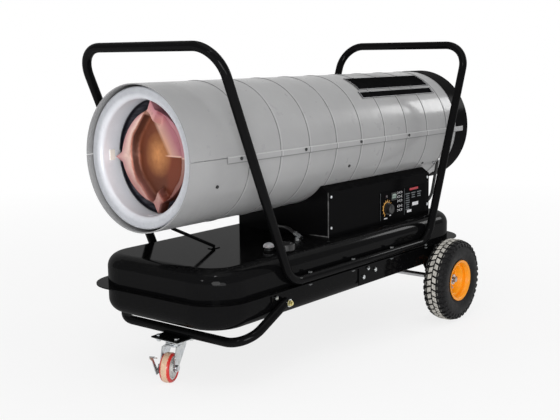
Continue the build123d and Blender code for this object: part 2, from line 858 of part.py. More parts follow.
def cover_screw_places():
    """X and z of the screws of each side cover."""
    stations = (box_front + cover_screw_inset, box_rear - cover_screw_inset)
    return [(at(s), z) for s in stations for z in cover_screw_heights]


def cover_screw_holes(radius):
    return [both_sides(rod((x, -box_half - 4, z), (x, -box_half + 12, z), radius))
            for x, z in cover_screw_places()]


def side_cover():
    """The cover of the -Y side, upright below and bevelled up to the drum."""
    line = Polyline(*wall_line(box_sheet / 2))
    face = Plane(origin=(at(box_front), 0, 0), x_dir=(0, 1, 0), z_dir=(1, 0, 0)) * trace(line, box_sheet)
    cover = extrude(face, box_rear - box_front, dir=(1, 0, 0)) - drum_clearance()
    for hole in cover_screw_holes(cover_screw_r + face_gap):
        cover -= hole
    return cover


def panel_cutouts(y_range, gap):
    """What passes through the panel and the cover behind it: knob bush, switch body and lamp."""
    y0, y1 = y_range
    bush = rod((at(knob_station), y0, knob_z), (at(knob_station), y1, knob_z), knob_shaft_r + 2.5 + gap)
    lamp = rod((at(lamp_station), y0, lamp_z), (at(lamp_station), y1, lamp_z), lamp_r - 1 + gap)
    half_w = switch_width / 2 - switch_rim + gap
    half_h = switch_height / 2 - switch_rim + gap
    switch = block((at(switch_station) - half_w, at(switch_station) + half_w), (y0, y1),
                   (switch_z - half_h, switch_z + half_h))
    return bush + lamp + switch


def near_side_cover():
    return side_cover() - panel_cutouts((-box_half - 3, -box_half + 6), seat_gap)


def far_side_cover():
    return mirror(side_cover(), about=Plane.XZ)


def sheet_screws():
    """Pan head screws of both shells and both side covers, each a separate screw."""
    screws = []
    for x, z in cover_screw_places():
        head = rod((x, -box_half, z), (x, -box_half - cover_screw_head, z), cover_screw_head_r)
        head = fillet(head.edges().sort_by(Axis.Y)[0], cover_screw_head * 0.4)
        screw = head + rod((x, -box_half, z), (x, -box_half + cover_screw_length, z), cover_screw_r)
        screws += [screw, mirror(screw, about=Plane.XZ)]
    return Compound(screws + shell_screw_set())


def control_panel():
    """Printed metal plate on the near side cover."""
    plate = block((at(panel_front), at(panel_rear)), (-box_half - panel_sheet, -box_half),
                  (panel_bottom, panel_top))
    plate = fillet(plate.edges().filter_by(Axis.Y), 4)
    return plate - panel_cutouts((-box_half - 3, -box_half + 3), seat_gap)


def switch_bezel():
    """Frame and hollow body of the rocker switch."""
    face_y = -box_half - panel_sheet
    outer = block((at(switch_station) - switch_width / 2, at(switch_station) + switch_width / 2),
                  (face_y - 2.5, face_y), (switch_z - switch_height / 2, switch_z + switch_height / 2))
    outer = fillet(outer.edges().filter_by(Axis.Y), 1.5)
    half_w = switch_width / 2 - switch_rim
    half_h = switch_height / 2 - switch_rim
    body = block((at(switch_station) - half_w, at(switch_station) + half_w), (face_y, -box_half + 24),
                 (switch_z - half_h, switch_z + half_h))
    x0 = at(switch_station) - half_w + 1
    x1 = at(switch_station) + half_w - 1
    room_r = rocker_r + seat_gap
    room = rod((x0, rocker_pivot_y, switch_z), (x1, rocker_pivot_y, switch_z), room_r)
    mouth = block((x0, x1), (face_y - 4, rocker_pivot_y), (switch_z - room_r, switch_z + room_r))
    return outer + body - room - mouth


def power_switch():
    """Rocker: a round core whose front is two flat faces, tipped to one side."""
    half_w = switch_width / 2 - switch_rim - 1 - seat_gap
    core = rod((at(switch_station) - half_w, rocker_pivot_y, switch_z),
               (at(switch_station) + half_w, rocker_pivot_y, switch_z), rocker_r)
    for side in (-1, 1):
        cut = Pos(0, -14.5, 0) * Box(60, 16, 60)
        cut = Rot(side * 14, 0, 0) * cut
        half = block((-40, 40), (-40, 40), (0, 40) if side > 0 else (-40, 0))
        core -= Pos(at(switch_station), rocker_pivot_y, switch_z) * (cut & half)
    turn = Pos(0, rocker_pivot_y, switch_z) * Rot(rocker_tilt, 0, 0) * Pos(0, -rocker_pivot_y, -switch_z)
    return turn * core


def pilot_lamp():
    """Domed lamp lens with its body behind the panel."""
    face_y = -box_half - panel_sheet
    body = rod((at(lamp_station), face_y, lamp_z), (at(lamp_station), -box_half + 18, lamp_z), lamp_r - 1)
    lens = rod((at(lamp_station), face_y, lamp_z), (at(lamp_station), face_y - 4, lamp_z), lamp_r)
    return fillet(lens.edges().sort_by(Axis.Y)[0], 2.5) + body


def thermostat_knob():
    """Fluted knob with a pointer rib, on its shaft."""
    face_y = -box_half - panel_sheet - 0.5
    x = at(knob_station)
    knob = rod((x, face_y, knob_z), (x, face_y - knob_step, knob_z), knob_r)
    knob += rod((x, face_y - knob_step, knob_z), (x, face_y - knob_height, knob_z), knob_r - knob_step)
    knob = chamfer(knob.edges().sort_by(Axis.Y)[0], 1.2)
    rib = block((x - 1.6, x + 1.6), (face_y - knob_height - 1.5, face_y - knob_height),
                (knob_z, knob_z + knob_r - knob_step - 2))
    shaft = rod((x, face_y, knob_z), (x, board_y - 4, knob_z), knob_shaft_r)
    return knob + rib + shaft


def control_board():
    """Circuit board on two standoffs from the floor, with the thermostat's bush and three blocks."""
    x0 = at(panel_front + board_first)
    x1 = x0 + board_length
    board = block((x0, x1), (board_y, board_y + 2), (box_floor + box_sheet + 6, panel_top))
    for x in (x0 + 6, x1 - 14):
        board += block((x, x + 8), (board_y - 4, board_y + 12),
                       (box_floor + box_sheet + face_gap, box_floor + box_sheet + 8))
    board += rod((at(knob_station), board_y, knob_z), (at(knob_station), -box_half - 0.2, knob_z),
                 knob_shaft_r + 2.5, knob_shaft_r + running_gap)
    for k in range(3):
        x = x0 + board_relay_pitch * (k + 0.5)
        board += block((x, x + board_relay), (board_y + 2, board_y + 18), (panel_top - 40, panel_top - 14))
    return board


def ignition_transformer():
    """Cast block on the box floor, with two high voltage posts."""
    z0 = box_floor + box_sheet + face_gap
    z1 = z0 + transformer_height
    y1 = box_half - transformer_from_wall
    x0 = at(transformer_front)
    case = block((x0, x0 + transformer_length), (y1 - transformer_width, y1), (z0, z1))
    case = fillet(case.edges().filter_by(Axis.Z), 5)
    post_y = y1 - transformer_width / 2
    for x in (x0 + transformer_length / 4, x0 + transformer_length * 3 / 4):
        case += rod((x, post_y, z1), (x, post_y, z1 + transformer_post), transformer_post_r)
    return case


def motor_capacitor():
    """Run capacitor lying in a clip on the box floor."""
    y = box_half - capacitor_from_wall
    floor = box_floor + box_sheet
    z = floor + capacitor_r + 6
    x0 = at(capacitor_front)
    can = rod_x(capacitor_front, capacitor_front + capacitor_length, capacitor_r, y=y, z=z)
    clip = block((x0 + capacitor_length * 0.35, x0 + capacitor_length * 0.65),
                 (y - capacitor_r, y + capacitor_r), (floor + face_gap, z - capacitor_r / 2))
    return can + clip


# ---------------------------------------------------------------- fuel tank
def tank_plan(inset, radius):
    """The tank's outline from above, inset from its flange edge."""
    middle = at(tank_front + tank_length / 2)
    return Pos(middle, 0) * RectangleRounded(tank_length - 2 * inset, 2 * (tank_half - inset), radius)


def pressing(height, inset):
    """The bulge of one pressing above the flange plane, inset by a sheet thickness for its inside."""
    wall = flange_width + inset
    bulge = extrude(tank_plan(wall, body_corner_r - inset), height - inset)
    return fillet(bulge.faces().sort_by(Axis.Z)[-1].edges(), tank_crown_r - inset)


def tank_half_shell(height):
    """One pressing: hollow bulge and flange rim, lying on the flange plane with its crown up."""
    rim = extrude(tank_plan(0, flange_corner_r), tank_sheet)
    return rim + pressing(height, 0) - pressing(height, tank_sheet)


def tank_upper():
    """Upper pressing, holed for the filler, gauge and suction pipe."""
    shell = Pos(0, 0, flange_z) * tank_half_shell(tank_top - flange_z)
    holes = ((filler_station, filler_y, filler_r + running_gap), (gauge_station, gauge_y, gauge_stem_r + 2),
             (suction_station, suction_y, 4.2))
    for station, y, r in holes:
        x = at(station)
        shell -= rod((x, y, tank_top - 10), (x, y, tank_top + 10), r)
    for hole in rail_bolt_holes():
        shell -= hole
    return shell


def tank_lower():
    """Lower pressing, with the drain hole and the holes of the bolts through the flange."""
    shell = mirror(tank_half_shell(flange_z - tank_bottom), about=Plane.XY)
    shell = Pos(0, 0, flange_z) * shell
    shell -= rod((at(drain_station), 0, tank_bottom - 5), (at(drain_station), 0, tank_bottom + 10), 6.1)
    for hole in rail_bolt_holes():
        shell -= hole
    return shell


def filler_neck():
    """Neck with a flange on the tank top and a strainer cup below."""
    inner = filler_r - filler_sheet
    z0 = tank_top - filler_depth
    seat = tank_top + face_gap
    top = tank_top + filler_rise
    neck = turned_z([(inner, z0), (filler_r, z0), (filler_r, seat), (filler_r + 4, seat),
                     (filler_r + 4, seat + 1.8), (filler_r, seat + 1.8), (filler_r, top), (inner, top)],
                    at(filler_station), filler_y)
    cup = turned_z([(inner - 4, z0 - 20), (inner - 3, z0 - 20), (inner - 3, z0 + 1), (inner + 0.5, z0 + 1),
                    (inner + 0.5, z0 + 2), (inner - 4, z0 + 2)], at(filler_station), filler_y)
    return neck + cup


def fuel_cap():
    """Round cap over the neck, with grip ribs and a raised bar."""
    x, y = at(filler_station), filler_y
    z1 = tank_top + filler_rise + face_gap + cap_top
    z0 = z1 - cap_top - cap_skirt + 4
    cap = rod((x, y, z0), (x, y, z1), cap_r) - rod((x, y, z0 - 1), (x, y, z1 - cap_top), filler_r + seat_gap)
    cap = fillet(cap.edges().filter_by(GeomType.CIRCLE).group_by(Axis.Z)[-1], 2.5)
    for k in range(12):
        turn = math.radians(30 * k)
        rib_x = x + (cap_r + 2) * math.cos(turn)
        rib_y = y + (cap_r + 2) * math.sin(turn)
        cap -= rod((rib_x, rib_y, z0 - 1), (rib_x, rib_y, z1 - 3), 3.4)
    return cap + block((x - 4, x + 4), (y - cap_r + 7, y + cap_r - 7), (z1, z1 + 5))


def gauge_body():
    """Gauge base and neck on the tank, with a stem down to the float's pivot."""
    x, y = at(gauge_station), gauge_y
    z0 = tank_top + face_gap
    neck_top = z0 + gauge_neck
    body = turned_z([(1.1, z0), (gauge_base_r, z0), (gauge_base_r, z0 + 3), (gauge_neck_r, z0 + 3),
                     (gauge_neck_r, neck_top - 2), (gauge_dome_r - 0.5, neck_top), (1.1, neck_top)], x, y)
    cheek_top = gauge_pivot_z + 12
    body += rod((x, y, cheek_top), (x, y, z0), gauge_stem_r, gauge_stem_r - 2)
    for side in (-1, 1):
        cheek = sorted((y + side * 3, y + side * 5))
        body += block((x - 5, x + 5), cheek, (gauge_pivot_z - 6, cheek_top + 4))
    return body + rod((x, y - 5, gauge_pivot_z), (x, y + 5, gauge_pivot_z), 1.5)


def gauge_lens():
    """Clear dome over the gauge pointer."""
    z0 = tank_top + 2 * face_gap + gauge_neck

    def dome(radius, height, skirt):
        rise = height - skirt
        sphere_r = (radius**2 + rise**2) / (2 * rise)
        ball = Pos(0, 0, skirt + rise - sphere_r) * Sphere(sphere_r)
        cap = ball & Pos(0, 0, skirt + 50) * Box(100, 100, 100)
        return cap + Pos(0, 0, skirt / 2) * Cylinder(radius, skirt)

    lens = dome(gauge_dome_r, gauge_dome, 2.5) - dome(gauge_dome_r - 1.5, gauge_dome - 1.5, 2.5)
    return Pos(at(gauge_station), gauge_y, z0) * lens


def gauge_pointer():
    """Pointer disc under the dome, on a thin shaft down the stem."""
    x, y = at(gauge_station), gauge_y
    z0 = tank_top + 2 * face_gap + gauge_neck
    disc = rod((x, y, z0 + 1), (x, y, z0 + 2), gauge_dome_r - 3)
    disc += block((x - 1, x + 1), (y, y + gauge_dome_r - 4), (z0 + 2, z0 + 2.8))
    return disc + rod((x, y, gauge_pivot_z + 18), (x, y, z0 + 1), 1.05)


def gauge_float():
    """Float and arm, hanging at the empty stop."""
    x, y = at(gauge_station), gauge_y
    eye = rod((x, y - 2.5, gauge_pivot_z), (x, y + 2.5, gauge_pivot_z), 4.5)
    arm = rod((x, y, gauge_pivot_z), (x + float_arm, y, gauge_pivot_z), 2)
    ball = rod((x + float_arm, y - float_length / 2, gauge_pivot_z),
               (x + float_arm, y + float_length / 2, gauge_pivot_z), float_r)
    shape = eye + arm + ball - rod((x, y - 4, gauge_pivot_z), (x, y + 4, gauge_pivot_z), 1.5 + running_gap)
    return Pos(x, y, gauge_pivot_z) * Rot(0, float_fall, 0) * Pos(-x, -y, -gauge_pivot_z) * shape


def suction_fitting():
    """Hexagon fitting on the tank with a dip pipe, and a cross body with a hose tail."""
    x, y = suction_point.X, suction_point.Y
    base = Pos(x, y, tank_top + face_gap) * extrude(RegularPolygon(fitting_hex_r, 6), 8)
    base += rod((x, y, tank_top + 6), suction_point, 6)
    dip = rod((x, y, tank_bottom + 12), (x, y, tank_top + face_gap), 4, 2.8)
    body = rod(suction_point - suction_dir * 16, suction_point + suction_dir * 14, 7)
    tail = rod(suction_point + suction_dir * 14, suction_point + suction_dir * 30, hose_bore - running_gap)
    return base + dip + body + tail


def drain_plug():
    """Hexagon plug in the tank floor."""
    x = at(drain_station)
    head = Pos(x, 0, tank_bottom - face_gap - 9) * extrude(RegularPolygon(fitting_hex_r + 2, 6), 9)
    return head + rod((x, 0, tank_bottom - face_gap), (x, 0, tank_bottom + 9), 6)


def tank_fittings():
    """The suction fitting and the drain plug."""
    return Compound([suction_fitting(), drain_plug()])


# ---------------------------------------------------------------- hoses
def fuel_points():
    """The fuel line's route from the tank fitting to the nozzle's near tail."""
    start = [suction_point + suction_dir * 14.3, suction_point + suction_dir * 50]
    end = [(nozzle_turn_station, -nozzle_tail_y, drum_z), (nozzle_tail_end - 20, -nozzle_tail_y, drum_z)]
    return start + placed(fuel_route + end)


def air_points():
    """The air line's route from the pump's tail to the nozzle's far tail."""
    start = [Vector(at(pump_tail_station), *around_drum(pump_tail_angle, pump_r + reach))
             for reach in (0.5, air_tail_reach)]
    end = [(nozzle_turn_station, nozzle_tail_y, drum_z), (nozzle_tail_end - 20, nozzle_tail_y, drum_z)]
    return start + placed(air_route + end)


def placed(route):
    """The points of a route given as stations."""
    return [Vector(at(s), y, z) for s, y, z in route]


def crossing(route, station):
    """The y and z at which a route's straight runs pass a station."""
    for first, last in zip(route, route[1:]):
        if min(first[0], last[0]) <= station <= max(first[0], last[0]):
            share = (station - first[0]) / (last[0] - first[0])
            return [a + share * (b - a) for a, b in zip(first[1:], last[1:])]


def hose_entries():
    """The straight stretches on which hoses pass through the lower shell."""
    fuel = placed(fuel_route)
    air = placed(air_route)
    return [(fuel[4], fuel[5]), (air[1] + Vector(0, 0, 6), air[2]), (air[8], air[9])]


def fuel_hose():
    return hose(fuel_points())


def air_hose():
    return hose(air_points())


# ---------------------------------------------------------------- handles and rails
def rail_bolt_places():
    stations = [rail_bolt_first + k * rail_bolt_pitch for k in range(rail_bolt_count)]
    return [(at(s), side * rail_y) for s in stations for side in (-1, 1)]


def flange_bolt_places():
    """The bolts of the bracket end, behind the last rail bolts."""
    station = rail_bolt_first + rail_bolt_count * rail_bolt_pitch
    return [(at(station), side * rail_y) for side in (-1, 1)]


def rail_bolt_holes():
    return [rod((x, y, flange_under - 5), (x, y, rail_z + tube_r + 5), rail_bolt_r + face_gap)
            for x, y in rail_bolt_places() + flange_bolt_places()]


def front_handle():
    """Grip bar, two legs and the front halves of both foot rails, bent from one tube."""
    half = [(at(rail_split) - seat_gap / 2, -rail_y, rail_z), (at(front_foot), -rail_y, rail_z),
            (at(front_bar), -rail_y, bar_z)]
    points = half + [(x, -y, z) for x, y, z in reversed(half)]
    tube = bent_tube(points, [foot_bend, grip_bend, grip_bend, foot_bend], tube_r, tube_r - tube_wall)
    return cut_all(tube, rail_bolt_holes())


def rear_handle():
    """Rear grip bar and legs, with the rear halves of both foot rails."""
    half = [(at(rail_split) + seat_gap / 2, -rail_y, rail_z), (at(rear_foot), -rail_y, rail_z),
            (at(rear_bar), -rail_y, bar_z)]
    points = half + [(x, -y, z) for x, y, z in reversed(half)]
    tube = bent_tube(points, [foot_bend, grip_bend, grip_bend, foot_bend], tube_r, tube_r - tube_wall)
    return cut_all(tube, rail_bolt_holes())


def cut_all(shape, tools):
    for tool in tools:
        shape -= tool
    return shape


def rail_sleeves():
    """Plugs inside the tubes that join the two halves of each rail."""
    half = rail_sleeve_length / 2
    sleeve = rod_x(rail_split - half, rail_split + half, tube_r - tube_wall - 0.1, tube_r - tube_wall - 2,
                   y=-rail_y, z=rail_z)
    return Compound([sleeve, mirror(sleeve, about=Plane.XZ)])


def hex_bolt(x, y, under, over, radius, head_r, head):
    """An upright bolt with its head above one face and its nut below another."""
    top = Pos(x, y, over) * extrude(RegularPolygon(head_r, 6), head)
    nut = Pos(x, y, under - head) * extrude(RegularPolygon(head_r, 6), head)
    return top + nut + rod((x, y, under - head - 2), (x, y, over), radius)


def rail_bolts():
    """Bolts down through the rails and the flange, and two through the flange alone."""
    under = flange_under - 0.1
    bolts = [hex_bolt(x, y, under, rail_z + tube_r + 0.1, rail_bolt_r, rail_bolt_head_r, rail_bolt_head)
             for x, y in rail_bolt_places()]
    for x, y in flange_bolt_places():
        bolts.append(hex_bolt(x, y, under, flange_top + 0.1, rail_bolt_r, rail_bolt_head_r, rail_bolt_head))
    return bolts


# ---------------------------------------------------------------- front frame and caster
def side_studs():
    """Welded studs with their nuts on both sides of the tank, for the front frame and the axle brackets."""
    pieces = []
    for station, z in studs:
        x = at(station)
        stud = rod((x, -body_half - 0.1, z), (x, -frame_plate_y - stud_nut - 2, z), stud_r)
        nut = rod((x, -frame_plate_y - 0.1, z), (x, -frame_plate_y - stud_nut, z), stud_nut_r)
        pieces += [stud + nut, mirror(stud + nut, about=Plane.XZ)]
    return pieces


def stud_holes():
    return [both_sides(rod((at(s), -frame_plate_y - 1, z), (at(s), -body_half + 1, z), stud_r + face_gap))
            for s, z in studs]


def caster_bolt_places():
    return [(at(caster_station) + sx * caster_bolt_x / 2, sy * caster_bolt_y / 2)
            for sx in (-1, 1) for sy in (-1, 1)]


def front_frame():
    """Tube bent round under the tank's front, with welded end plates and the caster's mounting plate."""
    half = [(at(frame_arm_end), -frame_arm_y, frame_arm_end_z),
            (at(frame_run_station), -frame_run_half, frame_run_z)]
    points = half + [(x, -y, z) for x, y, z in reversed(half)]
    tube = bent_tube(points, [frame_bend, frame_bend], tube_r, tube_r - tube_wall)
    end = block((at(frame_bracket_front), at(frame_bracket_rear)),
                (-frame_plate_y, -frame_plate_y + frame_plate),
                (frame_bracket_bottom, flange_under - face_gap))
    end = fillet(end.edges().filter_by(Axis.Y).group_by(Axis.Z)[0], 10)
    bore = rod(points[0], points[1], tube_r - tube_wall)
    pad_x = caster_plate_length / 2 + caster_pad_margin
    pad_y = caster_plate_width / 2 + caster_pad_margin
    pad = block((at(caster_station) - pad_x, at(caster_station) + pad_x), (-pad_y, pad_y),
                (caster_plate_top, caster_plate_top + frame_plate + 0.6))
    frame = tube + both_sides(end - bore) + pad
    for x, y in caster_bolt_places():
        frame -= rod((x, y, caster_plate_top - 2), (x, y, caster_plate_top + frame_plate + 2),
                     caster_bolt_r + face_gap)
    return cut_all(frame, stud_holes())


def front_stay():
    """Diagonal bar from the tank up to the drum's front, with a flat lug at each end."""
    half = stay_lug / 2
    drum_under = drum_z - drum_r - seat_gap
    seat = tank_top + face_gap
    upper = block((at(stay_front - half), at(stay_front + half)), (-7, 7), (drum_under - 2, drum_under))
    lower = block((at(stay_rear - half), at(stay_rear + half)), (-9, 9), (seat, seat + 2))
    ends = [Vector(at(stay_front), 0, drum_under - 5), Vector(at(stay_rear), 0, tank_top + 6)]
    bar = rod(*ends, stay_r)
    for end in ends:
        bar += Pos(*end) * Sphere(stay_r)
    return upper + lower + (bar - block((at(0), at(stay_rear + stay_lug)), (-9, 9), (seat - 9, seat)))


def caster_plate():
    """Zinc plated top plate of the caster with its ball race, bored for the king pin."""
    top = caster_plate_top - face_gap
    x = at(caster_station)
    bottom = top - caster_plate_sheet
    plate = block((x - caster_plate_length / 2, x + caster_plate_length / 2),
                  (-caster_plate_width / 2, caster_plate_width / 2), (bottom, top))
    plate = fillet(plate.edges().filter_by(Axis.Z), 8)
    race_bottom = bottom - caster_race
    plate += turned_z([(0, bottom), (caster_race_neck_r, bottom), (caster_race_r, race_bottom + 3),
                       (caster_race_r, race_bottom), (0, race_bottom)], x, 0)
    plate -= rod((x, 0, race_bottom - 1), (x, 0, top + 1), caster_kingpin_r + running_gap)
    for bolt_x, bolt_y in caster_bolt_places():
        plate -= rod((bolt_x, bolt_y, bottom - 2), (bolt_x, bolt_y, top + 2), caster_bolt_r + face_gap)
    return plate


def caster_bolts():
    """Four bolts up through the caster plate and the frame's plate."""
    under = caster_plate_top - face_gap - caster_plate_sheet - 0.1
    over = caster_plate_top + frame_plate + 0.7
    return [hex_bolt(x, y, under, over, caster_bolt_r, caster_bolt_head_r, caster_bolt_head)
            for x, y in caster_bolt_places()]


def frame_bolts():
    """Every bolt and stud of the frame, each a separate fastener."""
    return Compound(rail_bolts() + side_studs() + caster_bolts())


def caster_axle_point():
    """The centre of the caster wheel, ahead of the king pin along the fork."""
    return Vector(at(caster_station), 0, caster_wheel_r) - swivel_dir * caster_trail


def fork_frame(shape):
    """Place a shape drawn about the wheel's centre, rolling along X, into the turned fork."""
    centre = caster_axle_point()
    return Pos(centre.X, centre.Y, centre.Z) * Rot(0, 0, caster_swivel) * shape


def fork_outer():
    """Half the width over the fork's legs."""
    return caster_wheel_width / 2 + caster_leg_gap + caster_fork_sheet


def caster_fork():
    """Pressed fork: crown under the race, two legs that narrow to the axle, and the king pin."""
    race_bottom = caster_plate_top - face_gap - caster_plate_sheet - caster_race
    top = race_bottom - 0.4 - caster_wheel_r
    crown_sheet = caster_fork_sheet + 1
    outer = fork_outer()
    front = caster_trail - caster_crown_front
    rear = caster_trail + caster_crown_rear
    fork = Pos(caster_trail, 0, top - crown_sheet) * extrude(Circle(caster_race_r), crown_sheet)
    fork += block((front, rear), (-outer, outer), (top - crown_sheet, top))
    leg = make_face(Polyline((-11, 0, -6), (-5, 0, -12), (5, 0, -12), (11, 0, -4), (rear, 0, top - 9),
                             (rear, 0, top), (caster_trail - caster_leg_front, 0, top), (-11, 0, 12),
                             close=True))
    for y in (-outer, outer - caster_fork_sheet):
        fork += Pos(0, y, 0) * extrude(leg, caster_fork_sheet, dir=(0, 1, 0))
    pin_top = caster_plate_top - face_gap - caster_wheel_r - 0.2
    fork += rod((caster_trail, 0, top - crown_sheet), (caster_trail, 0, pin_top), caster_kingpin_r)
    fork -= rod((0, -outer - 1, 0), (0, outer + 1, 0), caster_axle_r + face_gap)
    return fork_frame(fork)


def caster_axle():
    """Axle bolt across the fork, with its head on the near side and its nut outside the pedal."""
    near = -fork_outer() - 0.1
    far = fork_outer() + 2 * seat_gap + pedal_sheet
    axle = rod((0, near, 0), (0, far, 0), caster_axle_r)
    axle += rod((0, near - caster_axle_head, 0), (0, near, 0), caster_axle_head_r)
    axle += rod((0, far, 0), (0, far + caster_axle_head, 0), caster_axle_head_r)
    return fork_frame(axle)


def caster_hub():
    """Moulded hub with a dished web and a long boss."""
    half = caster_wheel_width / 2
    seat = caster_wheel_r - caster_tread
    bore = caster_axle_r + running_gap
    outline = Polyline((bore, -half), (caster_axle_r + 6, -half), (caster_axle_r + 8, -8),
                       (seat - 6, -6), (seat - 4, -half + 3), (seat, -half + 3), (seat, half - 3),
                       (seat - 4, half - 3), (seat - 6, 6), (caster_axle_r + 8, 8),
                       (caster_axle_r + 6, half), (bore, half), close=True)
    return fork_frame(revolve(make_face(outline), Axis.Y, 360))


def caster_tyre():
    """Cast tyre with rounded shoulders on the hub."""
    half = caster_wheel_width / 2
    seat = caster_wheel_r - caster_tread + 0.05
    outer = caster_wheel_r
    outline = Polyline((seat, -half + 2), (outer - 6, -half), (outer - 2, -half + 3), (outer, -half + 8),
                       (outer, half - 8), (outer - 2, half - 3), (outer - 6, half), (seat, half - 2),
                       close=True)
    return fork_frame(revolve(make_face(outline), Axis.Y, 360))


def brake_pedal():
    """Flat lever outside the fork's far leg, with a pad turned in over the wheel's tread."""
    inner = fork_outer() + seat_gap
    toe = pedal_reach
    lever = make_face(Polyline((10, 0, -4), (8, 0, 8), (-4, 0, 10), (-24, 0, 2), (-34, 0, 14),
                               (18 - toe, 0, 42), (3 - toe, 0, 50), (-toe, 0, 48), (-toe, 0, 44),
                               (16 - toe, 0, 32), (-42, 0, 6), (-32, 0, -12), (-4, 0, -10), close=True))
    pedal = Pos(0, inner, 0) * extrude(lever, pedal_sheet, dir=(0, 1, 0))
    pad = make_face(Polyline((18 - toe, 0, 42), (3 - toe, 0, 50), (-toe, 0, 48), (17 - toe, 0, 39.5),
                             close=True))
    pedal += Pos(0, inner - pedal_pad, 0) * extrude(pad, pedal_pad + pedal_sheet, dir=(0, 1, 0))
    pedal -= rod((0, inner - 1, 0), (0, inner + pedal_sheet + 1, 0), caster_axle_r + running_gap)
    return fork_frame(pedal)


# ---------------------------------------------------------------- rear axle and wheels
def axle_bracket():
    """Long plate on the tank's -Y side that narrows down to the axle."""
    x = at(axle_station)
    foot = axle_bracket_foot_r
    top = flange_under - face_gap
    bottom = axle_bracket_bottom
    outline = Polyline((at(axle_bracket_front), top), (at(axle_bracket_front), bottom), (x - 52, bottom),
                       (x - foot, wheel_r + 6), (x - foot, wheel_r - foot), (x + foot, wheel_r - foot),
                       (x + foot, wheel_r + 6), (at(axle_bracket_rear), bottom), (at(axle_bracket_rear), top),
                       close=True)
    face = Plane(origin=(0, -frame_plate_y, 0), x_dir=(1, 0, 0), z_dir=(0, -1, 0)) * make_face(outline)
    plate = extrude(face, frame_plate, dir=(0, 1, 0))
    return plate - rod((x, -frame_plate_y - 5, wheel_r), (x, -body_half + 5, wheel_r), axle_r + running_gap)


def axle_brackets():
    bracket = cut_all(axle_bracket(), stud_holes())
    return Compound([bracket, mirror(bracket, about=Plane.XZ)])


def axle():
    """Steel axle with a cross hole for a split pin near each end."""
    bar = rod((at(axle_station), -axle_half, wheel_r), (at(axle_station), axle_half, wheel_r), axle_r)
    bar = chamfer(bar.edges(), 1)
    x = at(axle_station)
    pin_y = hub_outer_y + 2 * face_gap + washer + 3
    return bar - both_sides(rod((x, -pin_y, wheel_r - 12), (x, -pin_y, wheel_r + 12), 1.7))


def axle_washers():
    """Spacer sleeve, inner and outer washer and split pin of each wheel."""
    x = at(axle_station)
    bore = axle_r + running_gap
    inner_y = -hub_inner_y + face_gap
    sleeve = rod((x, -frame_plate_y - face_gap, wheel_r), (x, inner_y + washer, wheel_r), axle_r + 4, bore)
    inner = rod((x, inner_y, wheel_r), (x, inner_y + washer, wheel_r), washer_r, bore)
    outer_y = -hub_outer_y - face_gap
    outer = rod((x, outer_y, wheel_r), (x, outer_y - washer, wheel_r), washer_r, bore)
    pin_y = hub_outer_y + 2 * face_gap + washer + 3
    pin = rod((x, -pin_y, wheel_r - 14), (x, -pin_y, wheel_r + 14), 1.6)
    pin += rod((x, -pin_y, wheel_r + 14), (x, -pin_y, wheel_r + 17), 2.6)
    pieces = [sleeve + inner, outer, pin]
    return Compound([shape for piece in pieces for shape in (piece, mirror(piece, about=Plane.XZ))])


def near_rim():
    """Two flanges, a well and a dished disc on a hub tube."""
    mid = -wheel_mid_y
    front = mid - rim_width / 2
    rear = mid + rim_width / 2
    well = FilletPolyline((rim_r - 1, front + 1), (rim_r - 8, front + 3), (rim_well_r, front + 12),
                          (rim_well_r, rear - 12), (rim_r - 8, rear - 3), (rim_r - 1, rear - 1),
                          radius=2.5)
    disc = FilletPolyline((rim_well_r, front + 20), (rim_well_r - 8, front + 20),
                          (rim_well_r - 16, mid + 4), (hub_r, mid + 4), radius=4)
    bore = axle_r + running_gap + 0.01
    hub = Polyline((bore, -hub_outer_y), (hub_r, -hub_outer_y), (hub_r, -hub_inner_y), (bore, -hub_inner_y),
                   close=True)
    section = trace(well, rim_sheet) + trace(disc, rim_sheet) + make_face(hub)
    rim = turned_y(section, at(axle_station), wheel_r)
    for k in range(4):
        turn = math.radians(90 * k + 45)
        x = at(axle_station) + 27 * math.cos(turn)
        z = wheel_r + 27 * math.sin(turn)
        rim += rod((x, mid + 4, z), (x, mid - 4, z), 5)
    return rim


def far_rim():
    return mirror(near_rim(), about=Plane.XZ)


def near_tyre():
    """Hollow tyre with a flat tread, round shoulders and bead seats on the rim."""
    mid = -wheel_mid_y
    bead = rim_width / 2 - 4
    seat = rim_r - 5.5
    flank = rim_r + 30
    shoulder = wheel_r - 12
    side = wheel_width / 2
    half = [(seat, -bead), (rim_r + 8, 3 - side), (flank, -side), (shoulder, 3 - side),
            (wheel_r, -tread_width / 2)]
    side -= tyre_wall
    inner_half = [(seat, tyre_wall - bead), (rim_r + 8, 3 - side), (flank, -side), (shoulder - 4, 2 - side),
                  (wheel_r - tyre_wall - 4, tyre_wall - tread_width / 2)]
    edges = []
    for points, bend in ((half, 5), (inner_half, 4)):
        line = points + [(r, -w) for r, w in reversed(points)]
        edges.append(FilletPolyline(*[(r, mid + w) for r, w in line], radius=bend))
    ends = [Line((seat, mid - w), (seat, mid - w + tyre_wall)) for w in (bead, tyre_wall - bead)]
    return turned_y(make_face(edges + ends), at(axle_station), wheel_r)


def far_tyre():
    return mirror(near_tyre(), about=Plane.XZ)


